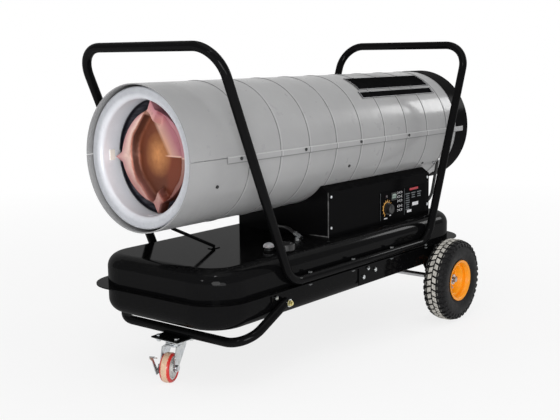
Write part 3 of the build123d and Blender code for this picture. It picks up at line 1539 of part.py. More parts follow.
# ---------------------------------------------------------------- write every node
nodes = [
    upper_shell, lower_shell, outlet_collar, combustion_chamber, chamber_supports, flame_spreader,
    burner_head, fuel_nozzle, spark_electrodes, flame_sensor, motor_mount, motor_body, motor_shaft, fan,
    pump_housing, pump_cover, rear_guard, rear_grille, control_box, near_side_cover, far_side_cover,
    sheet_screws, control_panel, switch_bezel, power_switch, pilot_lamp, thermostat_knob, control_board,
    ignition_transformer, motor_capacitor, tank_upper, tank_lower, filler_neck, fuel_cap, gauge_body,
    gauge_lens, gauge_pointer, gauge_float, tank_fittings, fuel_hose, air_hose, front_handle, rear_handle,
    rail_sleeves, frame_bolts, front_frame, front_stay, caster_plate, caster_fork, caster_axle, caster_hub,
    caster_tyre, brake_pedal, axle_brackets, axle, axle_washers, near_rim, far_rim, near_tyre, far_tyre,
]

os.makedirs("parts", exist_ok=True)
for build in nodes:
    export_step(build(), f"parts/{build.__name__}.step")
print(len(nodes), "nodes")
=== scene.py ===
"""Looks of the forced air heater: its finishes, tyres, flame spreader, plates, panel print and stage."""

import json
import math

import bmesh
import bpy
from bpy.props import FloatProperty, FloatVectorProperty, IntProperty, PointerProperty
from mathutils import Matrix, Vector


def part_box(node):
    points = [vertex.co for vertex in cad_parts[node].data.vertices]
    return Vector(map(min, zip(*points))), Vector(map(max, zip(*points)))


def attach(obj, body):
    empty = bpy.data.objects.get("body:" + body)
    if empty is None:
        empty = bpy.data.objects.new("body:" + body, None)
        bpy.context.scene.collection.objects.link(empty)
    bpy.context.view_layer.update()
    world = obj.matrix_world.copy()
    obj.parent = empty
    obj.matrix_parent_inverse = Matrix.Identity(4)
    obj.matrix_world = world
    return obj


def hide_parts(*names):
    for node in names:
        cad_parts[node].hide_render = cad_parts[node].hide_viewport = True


bl_info = {
    "name": "Forced air heater",
    "version": (1, 0, 0),
    "blender": (4, 5, 0),
    "location": "View3D > Sidebar > Heater",
    "description": "Builds the looks of a wheeled forced air heater around its fixed frame",
    "category": "Object",
}

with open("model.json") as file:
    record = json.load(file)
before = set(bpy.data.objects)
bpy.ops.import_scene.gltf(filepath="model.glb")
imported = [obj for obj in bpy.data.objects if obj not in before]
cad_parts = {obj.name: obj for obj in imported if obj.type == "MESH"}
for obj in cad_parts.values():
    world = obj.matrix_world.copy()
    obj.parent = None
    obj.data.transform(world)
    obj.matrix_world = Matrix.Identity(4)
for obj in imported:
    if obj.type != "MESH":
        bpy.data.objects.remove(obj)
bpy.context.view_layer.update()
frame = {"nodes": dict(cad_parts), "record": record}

# -------- places on the frame, in metres
OVERALL = 1.371
DRUM_Z = 0.597
DRUM_R = 0.188
DRUM_AXIS = (0, 0, DRUM_Z)
AXLE = Vector((1.0584 - OVERALL / 2, 0.0, 0.130))
HALF_TRACK = 0.308
CASTER_TURN = math.radians(22)
CASTER_DIR = Vector((math.cos(CASTER_TURN), math.sin(CASTER_TURN), 0))
CASTER_SIDE = Vector((-math.sin(CASTER_TURN), math.cos(CASTER_TURN), 0))
CASTER_CENTRE = Vector((0.117 - OVERALL / 2, 0, 0.040)) - CASTER_DIR * 0.045
PANEL_Y = -0.172

# -------- stations and heights, in millimetres
BEAD_FIRST = 220
BEAD_PITCH = 126
BEAD_COUNT = 9
BOX_FRONT = 578.0
BOX_FOOT = 327.5
RIM_STATION = 62.0
DIAL_STATION = 889
DIAL_Z = 369

# -------- axes kept by a distance
ROUND_X = (0, 1, 1)
ROUND_Y = (1, 0, 1)


def at(station):
    """X of a station measured back from the outlet's front edge, in metres."""
    return station / 1000 - OVERALL / 2


# -------- settings
def paint(label, about, default):
    return FloatVectorProperty(name=label, description=about, default=default, subtype="COLOR", min=0, max=1)


def length(label, about, default, low, high):
    return FloatProperty(name=label, description=about, default=default, min=low, max=high, unit="LENGTH")


def count(label, about, default, low, high):
    return IntProperty(name=label, description=about, default=default, min=low, max=high)


def power(label, about, default, most=2000):
    return FloatProperty(name=label, description=about, default=default, min=0, max=most)


class HeaterPaints(bpy.types.PropertyGroup):
    """Colours a user would change."""
    drum: paint("Drum", "Paint of the drum shells", (0.335, 0.335, 0.338))
    casing: paint("Casing", "Paint of the box, tank and frame", (0.0035, 0.0035, 0.0038))
    rim: paint("Rims", "Paint of the wheel rims", (0.98, 0.40, 0.010))
    caster: paint("Caster tyre", "Colour of the cast caster tyre", (0.62, 0.022, 0.016))
    rubber: paint("Rubber", "Colour of the tyres and hoses", (0.011, 0.011, 0.0115))
    dial: paint("Dial", "Print of the thermostat scale", (0.80, 0.42, 0.10))


class HeaterSizes(bpy.types.PropertyGroup):
    """Sizes a user would change."""
    lug_count: count("Lugs", "Tread lugs round each tyre", 38, 12, 80)
    lug_height: length("Lug height", "Height of the tread lugs", 0.0055, 0.002, 0.012)
    tick_count: count("Dial ticks", "Ticks of the thermostat scale", 9, 3, 24)
    plate_lift: length("Plate lift", "How far the plates stand off the drum", 0.0010, 0.0001, 0.002)
    crease: length("Spreader bowl", "Depth of the flame spreader's bowl", 0.028, 0.002, 0.04)


class HeaterLight(bpy.types.PropertyGroup):
    """Strength of the studio light."""
    key: power("Key", "Power of the large overhead lamp", 18)
    fill: power("Fill", "Power of the lamp beside the camera", 52)
    side: power("Side", "Power of the lamp off the rear near corner", 12)
    low: power("Low", "Power of the lamp near the floor", 10)
    spark: power("Spark", "Power of the small lamps that glint", 5, 200)
    sky: power("Sky", "Strength of the plain surroundings", 0.46, 4)


def paints():
    return bpy.context.scene.heater_paints


def sizes():
    return bpy.context.scene.heater_sizes


# -------- node helpers
class Nodes:
    """Short calls that add nodes to a tree."""

    def __init__(self, tree):
        self.tree = tree
        tree.nodes.clear()

    def plug(self, value, socket):
        """Link an output to a socket, or write a plain value into it."""
        if isinstance(value, bpy.types.NodeSocket):
            self.tree.links.new(value, socket)
        elif socket.type == "RGBA":
            socket.default_value = (*value[:3], 1.0)
        else:
            socket.default_value = value

    def add(self, kind, *values, named=None, **settings):
        """A node with its settings, and values or links for its inputs in order and by name."""
        node = self.tree.nodes.new(kind)
        for name, value in settings.items():
            setattr(node, name, value)
        for value, socket in zip(values, node.inputs):
            if value is not None:
                self.plug(value, socket)
        for name, value in (named or {}).items():
            self.plug(value, node.inputs[name])
        return node

    def math(self, kind, first, second=0.0):
        return self.add("ShaderNodeMath", first, second, operation=kind).outputs[0]

    def vector(self, kind, first, second=None):
        return self.add("ShaderNodeVectorMath", first, second, operation=kind).outputs

    def xyz(self, x=None, y=None, z=None):
        return self.add("ShaderNodeCombineXYZ", x, y, z).outputs[0]

    def product(self, first, *others):
        for value in others:
            first = self.math("MULTIPLY", first, value)
        return first

    def range(self, value, low, high, to_low=0.0, to_high=1.0):
        named = {"Value": value, "From Min": low, "From Max": high, "To Min": to_low, "To Max": to_high}
        return self.add("ShaderNodeMapRange", named=named).outputs["Result"]

    def off(self, value, middle):
        """How far a value lies from the middle, on either side."""
        return self.math("ABSOLUTE", self.math("SUBTRACT", value, middle))

    def line(self, value, middle, inner, outer):
        """1 within inner of the middle, fading to 0 at outer."""
        return self.range(self.off(value, middle), inner, outer, 1.0, 0.0)


class Surface(Nodes):
    """The nodes of a material, with its Object coordinates at hand."""

    def __init__(self, name):
        self.material = bpy.data.materials.new(name)
        self.material.use_nodes = True
        super().__init__(self.material.node_tree)
        self.place = self.add("ShaderNodeTexCoord").outputs["Object"]
        self.x, self.y, self.z = self.split(self.place)

    def split(self, vector):
        return self.add("ShaderNodeSeparateXYZ", vector).outputs

    def show(self, shader):
        self.add("ShaderNodeOutputMaterial", shader.outputs[0])
        return self.material


class Finish(Surface):
    """A Principled material built from noise, cells and masks by place."""

    def __init__(self, name):
        super().__init__(name)
        self.shader = self.add("ShaderNodeBsdfPrincipled")
        self.show(self.shader)

    def set(self, **values):
        """Values or links of the shader's own sockets, with _ for a space. Returns the material."""
        for name, value in values.items():
            self.plug(value, self.shader.inputs[name.replace("_", " ")])
        return self.material

    def stretched(self, scale, turn=(0, 0, 0)):
        named = {"Vector": self.place, "Scale": scale, "Rotation": turn}
        return self.add("ShaderNodeMapping", named=named).outputs[0]

    def noise(self, scale, detail, rough, place=None):
        named = {"Vector": place or self.place, "Scale": scale, "Detail": detail, "Roughness": rough}
        return self.add("ShaderNodeTexNoise", named=named).outputs["Fac"]

    def grain(self, scale, detail, rough, low, high, to_low=0.0, to_high=1.0, place=None):
        """Noise whose stretch from low to high runs from to_low to to_high."""
        return self.range(self.noise(scale, detail, rough, place), low, high, to_low, to_high)

    def cells(self, scale, out="Distance", randomness=1.0, **settings):
        named = {"Vector": self.place, "Scale": scale, "Randomness": randomness}
        return self.add("ShaderNodeTexVoronoi", **settings, named=named).outputs[out]

    def ramp(self, fac, *stops):
        """A ramp of (position, colour) stops."""
        node = self.add("ShaderNodeValToRGB", fac)
        elements = node.color_ramp.elements
        while len(elements) < len(stops):
            elements.new(0.5)
        for element, (position, colour) in zip(elements, stops):
            element.position = position
            element.color = (*colour, 1.0)
        return node.outputs["Color"]

    def mix(self, share, first, second):
        node = self.add("ShaderNodeMix", share, data_type="RGBA")
        colours = [socket for socket in node.inputs if socket.type == "RGBA"]
        self.plug(first, colours[0])
        self.plug(second, colours[1])
        return next(socket for socket in node.outputs if socket.type == "RGBA")

    def tint(self, colour, other, *shares):
        """A colour moved towards another by the product of the shares."""
        return self.mix(self.product(*shares), colour, other)

    def along(self, origin, direction):
        """Distance along a direction from a point."""
        return self.vector("DOT_PRODUCT", self.vector("SUBTRACT", self.place, origin)[0], direction)["Value"]

    def distance(self, origin, kept=(1, 1, 1)):
        """Distance from a point, with axes left out where kept is 0."""
        away = self.vector("MULTIPLY", self.vector("SUBTRACT", self.place, origin)[0], kept)[0]
        return self.vector("LENGTH", away)["Value"]

    def bump(self, height, strength, distance, over=None):
        named = {"Strength": strength, "Distance": distance, "Height": height}
        if over is not None:
            named["Normal"] = over
        return self.add("ShaderNodeBump", named=named).outputs[0]


def grey(tone):
    return (tone, tone, tone)


def shade(colour, share):
    return [min(1, c * share) for c in colour]


# -------- finishes
def grey_paint(name):
    """Satin grey paint on rolled sheet: orange peel, dents, dust, scuffs, and painted highlight and painted
    shade lines along the beads and the seam's lap.
    """
    f = Finish(name)
    base = paints().drum
    colour = f.mix(f.grain(5, 2, 0.5, 0.3, 0.7), shade(base, 0.95), shade(base, 1.05))
    colour = f.tint(colour, (0.50, 0.49, 0.47), f.grain(38, 5, 0.65, 0.56, 0.78), 0.10)
    colour = f.tint(colour, grey(0.20), f.grain(30, 8, 0.8, 0.69, 0.76, place=f.stretched((1, 6, 6))), 0.25)
    run = f.math("DIVIDE", f.math("SUBTRACT", f.x, at(BEAD_FIRST - BEAD_PITCH / 2)), BEAD_PITCH / 1000)
    across = f.math("SUBTRACT", f.math("FRACT", run), 0.5)
    beaded = f.line(run, BEAD_COUNT / 2, BEAD_COUNT / 2 - 0.01, BEAD_COUNT / 2)
    # Painted highlight: a light band just behind the middle of each bead.
    colour = f.tint(colour, grey(0.62), f.line(across, 0.0130, 0.010, 0.024), beaded, 0.28)
    # Painted shade: a dark line just ahead of each bead, broken up by noise.
    shade_breakup = f.grain(60, 3, 0.5, 0.2, 0.6, 0.45, 0.85)
    colour = f.tint(colour, grey(0.05), f.line(across, -0.0300, 0.005, 0.012), beaded, shade_breakup)
    height = f.math("SUBTRACT", f.z, DRUM_Z)
    lapped = f.range(f.x, at(131), at(132))
    # Painted highlight along the lap's bend just above the seam, and a painted shadow line under the lap.
    for middle, half, share, tone in ((0.0025, 0.0012, 0.45, 0.70), (-0.0135, 0.0014, 0.60, 0.06)):
        colour = f.tint(colour, grey(tone), f.line(height, middle, half * 0.5, half * 1.5), lapped, share)
    dents = f.bump(f.noise(13, 2, 0.45, f.stretched((1.6, 1, 1))), 0.40, 0.0030)
    return f.set(Base_Color=colour, Specular_IOR_Level=0.14, Coat_Weight=0.24, Coat_Roughness=0.12,
                 Roughness=f.grain(24, 4, 0.6, 0.3, 0.7, 0.26, 0.38),
                 Normal=f.bump(f.noise(620, 2, 0.5), 0.10, 0.0003, dents))


def edge_highlights(f):
    """Painted highlight along the box's front corner on the near side and along its foot, broken up by noise.
    """
    def fold(value, place, half):
        return f.line(value, place, half * 0.6, half * 1.4)

    corner = f.product(fold(f.x, at(BOX_FRONT), 0.0016), f.range(f.y, -0.1685, -0.1700))
    ahead = f.range(f.x, at(BOX_FRONT + 1.5), at(BOX_FRONT + 0.5))
    foot = f.product(fold(f.z, BOX_FOOT / 1000, 0.0014), ahead, f.range(f.y, -0.10, -0.13))
    return f.product(f.math("MAXIMUM", corner, foot), f.grain(45, 4, 0.6, 0.35, 0.6, 0.3, 1.0))


def black_paint(name, rough, coat, polish, dusty, peel, edges=False):
    """Black paint with dust on what faces up, fine scratches and orange peel."""
    f = Finish(name)
    up = f.range(f.split(f.add("ShaderNodeNewGeometry").outputs["Normal"])["Z"], 0.3, 1.0)
    dust = f.grain(60, 6, 0.7, 0.45, 0.75)
    colour = f.tint(paints().casing, (0.06, 0.058, 0.055), dust, up, dusty)
    scratched = f.stretched((2, 18, 18), (0.3, 0.5, 0.2))
    colour = f.tint(colour, grey(0.05), f.grain(16, 9, 0.85, 0.70, 0.74, place=scratched), 0.25)
    if edges:
        # Painted highlight on the box's folded edges.
        colour = f.tint(colour, grey(0.16), edge_highlights(f))
    waves = f.bump(f.noise(11, 1, 0.4), 0.22, 0.0022)
    return f.set(Base_Color=colour, Coat_Weight=coat, Coat_Roughness=polish, Specular_IOR_Level=0.0,
                 Roughness=f.grain(34, 5, 0.6, 0.3, 0.7, rough - 0.06, rough + 0.08),
                 Normal=f.bump(f.noise(peel, 2, 0.5), 0.12, 0.0004, waves))


def galvanised(name):
    """Zinc sheet with faint spangle, slightly blue, with painted light that makes the outlet's inner wall
    paler.
    """
    f = Finish(name)
    tone = f.range(f.split(f.cells(115, out="Color"))["X"], 0, 1)
    colour = f.mix(tone, (0.50, 0.515, 0.55), (0.56, 0.575, 0.61))
    colour = f.tint(colour, (0.46, 0.47, 0.52), f.grain(14, 5, 0.6, 0.52, 0.72), 0.25)
    # Painted light: the outlet's inner wall is brightened towards a pale blue white.
    wall = f.range(f.distance(DRUM_AXIS, ROUND_X), 0.1500, 0.1640, 1.0, 0.0)
    colour = f.tint(colour, (0.88, 0.90, 0.95), wall, 0.70)
    return f.set(Base_Color=colour, Metallic=0.12, Specular_IOR_Level=0.5,
                 Roughness=f.range(tone, 0, 1, 0.30, 0.42), Normal=f.bump(f.noise(300, 3, 0.6), 0.08, 0.0003))


def heated_steel(name):
    """Stainless sheet: the spreader runs from a pale pink rim to a brown floor, with painted highlights,
    painted shade on its wall and a painted orange glow; the chamber is blued, painted near black at its front
    as shade.
    """
    f = Finish(name)
    swirl = f.grain(16, 4, 0.6, 0.25, 0.75, -0.05, 0.05)
    deep = f.math("ADD", f.range(f.x, at(RIM_STATION), at(RIM_STATION + 28)), swirl)
    # Ramp by depth: mauve pink heat tint at the rim, a cream painted highlight at the rim's inner edge, the
    # steep wall painted dark brown as shade, then a brown floor.
    sheet = f.ramp(deep, (0.0, (0.50, 0.25, 0.26)), (0.14, (0.80, 0.56, 0.49)), (0.22, (0.36, 0.13, 0.085)),
                   (0.36, (0.075, 0.022, 0.012)), (0.80, (0.10, 0.028, 0.012)), (1.0, (0.19, 0.048, 0.018)))
    lower = f.mix(deep, (0.42, 0.16, 0.14), (0.085, 0.026, 0.014))
    sheet = f.tint(sheet, lower, f.range(f.z, DRUM_Z - 0.020, DRUM_Z - 0.075, 0.0, 0.55))
    # A painted highlight along the ridge of the top ear.
    sheet = f.tint(sheet, (0.88, 0.50, 0.46), f.range(f.math("ABSOLUTE", f.y), 0.010, 0.006),
                   f.range(f.z, DRUM_Z + 0.066, DRUM_Z + 0.090))
    # The upper right quadrant: pink-magenta heat tint painted brighter as lit, palest along its curved edge
    # as a painted highlight.
    beyond = f.along((0, -0.0250, DRUM_Z + 0.003), (0, -0.861, 0.508))
    above = f.range(f.z, DRUM_Z - 0.002, DRUM_Z + 0.004)
    pink = f.mix(f.range(beyond, 0.006, 0.040), (0.76, 0.46, 0.36), (0.54, 0.21, 0.26))
    sheet = f.tint(sheet, pink, f.range(beyond, -0.004, 0.006), above, 0.85)
    # Darker brown on the right below the crease, and a painted highlight along the crease to the right tip.
    right = f.range(f.y, -0.010, -0.024)
    sheet = f.tint(sheet, (0.22, 0.045, 0.020), right, f.math("SUBTRACT", 1.0, above), 0.6)
    sheet = f.tint(sheet, (0.88, 0.56, 0.46), f.line(f.z, DRUM_Z + 0.001, 0.0010, 0.0028), right, 0.9)
    # A painted orange glow in the middle of the floor.
    glow = f.range(f.distance((0, 0.012, DRUM_Z + 0.002), (0, 1, 0.8)), 0.004, 0.050, 0.85, 0.0)
    sheet = f.tint(sheet, (0.86, 0.38, 0.130), glow, f.grain(60, 4, 0.6, 0.3, 0.7, 0.6, 1.0))
    sheet = f.tint(sheet, (0.05, 0.02, 0.012), f.grain(42, 6, 0.7, 0.60, 0.78), 0.5)
    streaks = f.grain(60, 5, 0.65, 0.40, 0.66, place=f.stretched((0.25, 1, 1)))
    blued = f.mix(streaks, (0.11, 0.11, 0.14), (0.34, 0.36, 0.43))
    # Painted shade: the chamber is near black at its front, where the gap behind the collar lies in shade.
    blued = f.tint(blued, (0.010, 0.012, 0.022), f.range(f.x, at(86), at(93), 0.95, 0.0))
    chamber = f.math("MAXIMUM", f.range(f.distance(DRUM_AXIS, ROUND_X), 0.14535, 0.14555),
                     f.range(f.x, at(92), at(95)))
    return f.set(Base_Color=f.mix(chamber, sheet, blued), Metallic=0.45,
                 Roughness=f.grain(40, 5, 0.6, 0.3, 0.7, 0.36, 0.50),
                 Normal=f.bump(f.noise(160, 3, 0.6), 0.10, 0.0004))


def blackened(f):
    """Share of black on fasteners: those high on the drum, and those on the foot rails."""
    aside = f.range(f.math("ABSOLUTE", f.y), 0.205, 0.210)
    return f.math("MAXIMUM", f.product(f.range(f.z, 0.482, 0.486), 0.93),
                  f.product(f.range(f.z, 0.224, 0.228), aside, 0.85))


def bright_metal(name, colour, rough, yellow=0.0, black=None):
    """Plated or bare steel with fine brushing, tarnish, yellow passivation and a mask of black."""
    f = Finish(name)
    tarnish = f.grain(85, 5, 0.65, 0.4, 0.7)
    tone = f.mix(tarnish, colour, shade(colour, 0.72))
    if yellow:
        tone = f.tint(tone, (0.62, 0.52, 0.24), f.grain(45, 3, 0.5, 0.35, 0.65), yellow)
    if black:
        tone = f.tint(tone, grey(0.02), black(f))
    return f.set(Base_Color=tone, Metallic=1.0, Roughness=f.range(tarnish, 0, 1, rough - 0.07, rough + 0.12),
                 Normal=f.bump(f.noise(900, 2, 0.5, f.stretched((1, 1, 0.2))), 0.08, 0.0002))


def cast_aluminium(name):
    """Sand cast alloy, matt and grainy, with oil stains."""
    f = Finish(name)
    grain = f.noise(420, 4, 0.7)
    colour = f.mix(f.range(grain, 0.3, 0.7), (0.32, 0.33, 0.34), (0.48, 0.49, 0.50))
    colour = f.tint(colour, (0.12, 0.11, 0.10), f.grain(18, 5, 0.6, 0.55, 0.75), 0.5)
    return f.set(Base_Color=colour, Metallic=0.8, Roughness=f.range(grain, 0.3, 0.7, 0.42, 0.6),
                 Normal=f.bump(grain, 0.35, 0.0005))


def moulded(name, colour, rough, pores=700, spread=0.12, **more):
    """Moulded plastic or rubber: fine grain, slight fading, finger marks."""
    f = Finish(name)
    fade = f.mix(f.grain(30, 4, 0.6, 0.3, 0.7), shade(colour, 1 - spread), shade(colour, 1 + spread))
    return f.set(Base_Color=fade, Roughness=f.grain(55, 4, 0.6, 0.3, 0.7, rough - 0.06, rough + 0.08),
                 Normal=f.bump(f.noise(pores, 2, 0.6), 0.14, 0.0003), **more)


def tyre_rubber(name):
    """Black rubber with pale worn tops on the tread blocks, palest on the middle rows."""
    f = Finish(name)
    tops = f.range(f.distance(AXLE, ROUND_Y), 0.1272, 0.1284)
    middle = f.range(f.off(f.math("ABSOLUTE", f.y), HALF_TRACK), 0.027, 0.021, 0.22, 1.0)
    worn = f.grain(70, 4, 0.6, 0.20, 0.50, 0.35, 1.0)
    colour = f.tint(paints().rubber, (0.60, 0.58, 0.53), tops, middle, worn, 0.95)
    colour = f.tint(colour, (0.06, 0.058, 0.055), f.grain(26, 5, 0.65, 0.45, 0.75), 0.10)
    return f.set(Base_Color=colour, Specular_IOR_Level=0.12,
                 Roughness=f.grain(90, 4, 0.6, 0.3, 0.7, 0.42, 0.62),
                 Normal=f.bump(f.noise(480, 3, 0.6), 0.18, 0.0004))


def caster_rubber(name):
    """Red cast tyre with a worn pale tread band round its middle."""
    f = Finish(name)
    side = f.math("ABSOLUTE", f.along(CASTER_CENTRE, CASTER_SIDE))
    ragged = f.math("ADD", side, f.grain(160, 3, 0.6, 0.3, 0.7, -0.0012, 0.0012))
    band = f.range(ragged, 0.0070, 0.0088, 1.0, 0.0)
    tread = f.range(f.distance(CASTER_CENTRE), 0.0375, 0.0392)
    colour = f.tint(paints().caster, (0.74, 0.50, 0.34), band, tread)
    colour = f.tint(colour, (0.22, 0.10, 0.07), f.grain(110, 5, 0.7, 0.55, 0.75), 0.35)
    return f.set(Base_Color=colour, Coat_Weight=0.15, Roughness=f.grain(120, 3, 0.6, 0.3, 0.7, 0.32, 0.48),
                 Normal=f.bump(f.noise(520, 3, 0.6), 0.10, 0.0003))


def rim_paint(name):
    """Bright orange powder coat with painted shade darkening it towards the edge, and chips."""
    f = Finish(name)
    # Painted shade: darker and redder towards the rim's edge.
    shadow = f.range(f.distance(AXLE, ROUND_Y), 0.030, 0.066)
    colour = f.tint(paints().rim, (0.88, 0.17, 0.004), shadow, 0.35)
    colour = f.tint(colour, (0.25, 0.20, 0.16), f.grain(120, 6, 0.75, 0.70, 0.74), 0.6)
    return f.set(Base_Color=colour, Coat_Weight=0.12, Coat_Roughness=0.10, Specular_IOR_Level=0.30,
                 Roughness=f.grain(60, 4, 0.6, 0.3, 0.7, 0.30, 0.42),
                 Normal=f.bump(f.noise(520, 2, 0.5), 0.12, 0.0004))


def circuit_board(name):
    """Green board with paler tracks and solder points."""
    f = Finish(name)
    edges = f.cells(300, randomness=0.35, feature="DISTANCE_TO_EDGE")
    track = f.range(edges, 0.02, 0.06, 1.0, 0.0)
    solder = f.range(f.cells(420, randomness=0.6), 0.10, 0.16, 1.0, 0.0)
    colour = f.mix(track, (0.012, 0.075, 0.028), (0.05, 0.20, 0.08))
    colour = f.tint(colour, (0.55, 0.55, 0.56), solder)
    return f.set(Base_Color=colour, Roughness=f.range(solder, 0, 1, 0.42, 0.25),
                 Normal=f.bump(track, 0.3, 0.0003))


def clear_plastic(name):
    """Clear dome, slightly scuffed."""
    f = Finish(name)
    scuff = f.grain(140, 6, 0.7, 0.5, 0.75)
    return f.set(Base_Color=f.mix(scuff, (0.80, 0.82, 0.84), (0.66, 0.68, 0.70)), IOR=1.47,
                 Transmission_Weight=0.65, Roughness=f.range(scuff, 0, 1, 0.08, 0.30),
                 Normal=f.bump(f.noise(200, 2, 0.5), 0.06, 0.0003))


def ink(name, colour):
    """Screen print: even ink with tiny wear."""
    f = Finish(name)
    return f.set(Base_Color=f.tint(colour, shade(colour, 0.45), f.grain(900, 4, 0.7, 0.62, 0.72), 0.5),
                 Roughness=f.grain(300, 3, 0.6, 0.3, 0.7, 0.40, 0.53),
                 Normal=f.bump(f.noise(1200, 2, 0.5), 0.06, 0.0001))


finishes = {}


def mix_finishes():
    """Every finish by its slot's name."""
    rubber, dial = paints().rubber, paints().dial
    recipes = {
        grey_paint: (("drum_paint",),),
        # roughness, coat, roughness of the coat, dust, scale of the orange peel, painted highlight on the
        # folds
        black_paint: (("black_paint", 0.32, 0.05, 0.20, 0.10, 700, True),
                      ("tank_paint", 0.20, 0.14, 0.08, 0.10, 420),
                      ("frame_paint", 0.20, 0.14, 0.09, 0.10, 900),
                      ("panel_paint", 0.36, 0.03, 0.25, 0.05, 1200)),
        galvanised: (("galvanised",),),
        heated_steel: (("heated_steel",),),
        # colour, roughness, yellow, mask of black
        bright_metal: (("zinc_plate", (0.62, 0.65, 0.68), 0.28, 0.12, blackened),
                       ("yellow_zinc", (0.72, 0.64, 0.30), 0.24, 0.5),
                       ("steel", (0.42, 0.42, 0.43), 0.34),
                       ("brass", (0.72, 0.50, 0.20), 0.28)),
        cast_aluminium: (("cast_aluminium",),),
        # colour, roughness, scale of the grain, spread of the fading, other sockets
        moulded: (("ceramic", (0.80, 0.77, 0.70), 0.22, 300, 0.05, {"Coat_Weight": 0.4}),
                  ("black_plastic", (0.012, 0.012, 0.0125), 0.38),
                  ("switch_green", (0.23, 0.30, 0.26), 0.25, 500, 0.10, {"Coat_Weight": 0.3}),
                  ("lamp_lens", (0.030, 0.020, 0.022), 0.12, 300, 0.2, {"Transmission_Weight": 0.15}),
                  ("pointer_red", (0.70, 0.03, 0.02), 0.30),
                  ("hose_rubber", rubber, 0.42, 500),
                  ("caster_hub_grey", (0.62, 0.62, 0.60), 0.36, 500, 0.08),
                  ("float_plastic", (0.48, 0.44, 0.35), 0.45),
                  ("plate_black", (0.006, 0.006, 0.0065), 0.34, 900, 0.15, {"Specular_IOR_Level": 0.0})),
        circuit_board: (("board_green",),),
        clear_plastic: (("gauge_clear",),),
        tyre_rubber: (("tyre_rubber",),),
        rim_paint: (("rim_orange",),),
        caster_rubber: (("caster_red",),),
        ink: (("white_ink", (0.72, 0.72, 0.74)), ("grey_ink", (0.115, 0.13, 0.14)), ("dial_ink", dial),
              ("red_ink", (0.42, 0.015, 0.03))),
    }
    for maker, looks in recipes.items():
        for name, *values in looks:
            more = values.pop() if values and isinstance(values[-1], dict) else {}
            finishes[name] = maker(name, *values, **more)


# -------- mesh helpers
def mesh_of(name, maker, outward=True):
    """A mesh that maker fills as a bmesh."""
    bm = bmesh.new()
    maker(bm)
    if outward:
        bmesh.ops.recalc_face_normals(bm, faces=bm.faces)
    mesh = bpy.data.meshes.new(name)
    bm.to_mesh(mesh)
    bm.free()
    return mesh


def placed(name, data):
    """A new object in the scene, with its data."""
    item = bpy.data.objects.new(name, data)
    bpy.context.scene.collection.objects.link(item)
    return item


def new_piece(name, maker, finish, body="heater", smooth=30, slot=None):
    """A mesh object at the origin with one finish, riding on a body. maker fills a bmesh."""
    piece = placed(name, mesh_of(name, maker))
    piece.data.materials.append(finishes[finish])
    if smooth:
        piece.data.shade_smooth()
        piece.data.set_sharp_from_angle(angle=math.radians(smooth))
    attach(piece, body)
    slot or finish
    return piece


def joined(name, meshes, finish, body, smooth=30):
    """One piece from several plain meshes."""
    def maker(bm):
        for mesh in meshes:
            bm.from_mesh(mesh)
            bpy.data.meshes.remove(mesh)
        bmesh.ops.remove_doubles(bm, verts=bm.verts, dist=1e-7)
    return new_piece(name, maker, finish, body, smooth)


def loft(bm, sections, lids=True):
    """Faces between rings of equally many points, with a lid at each end."""
    rings = [[bm.verts.new(point) for point in section] for section in sections]
    if not lids:
        rings.append(rings[0])
    for here, there in zip(rings, rings[1:]):
        for i in range(len(here)):
            j = (i + 1) % len(here)
            bm.faces.new((here[i], here[j], there[j], there[i]))
    if lids:
        bm.faces.new(rings[-1])
        bm.faces.new(list(reversed(rings[0])))


def lathe(bm, outline, centre, axis, steps=96):
    """Turn a closed outline of (along, radius) pairs about an axis through centre."""
    axis = Vector(axis).normalized()
    side = axis.orthogonal().normalized()
    other = axis.cross(side)
    sections = []
    for k in range(steps):
        turn = 2 * math.pi * k / steps
        out = side * math.cos(turn) + other * math.sin(turn)
        sections.append([Vector(centre) + axis * a + out * r for a, r in outline])
    loft(bm, sections, lids=False)


CORNERS = ((-1, -1), (1, -1), (1, 1), (-1, 1))


def slab(bm, centre, across, up, out, width, height, thick, bevel=0.0):
    """A small bevelled block on a surface: width along across, height along up, standing out."""
    across, up, out = (Vector(v).normalized() for v in (across, up, out))
    loft(bm, [[Vector(centre) + across * a * (width / 2 - inset) + up * b * (height / 2 - inset) + out * level
               for a, b in CORNERS] for level, inset in ((0.0, 0.0), (thick - bevel, 0.0), (thick, bevel))])


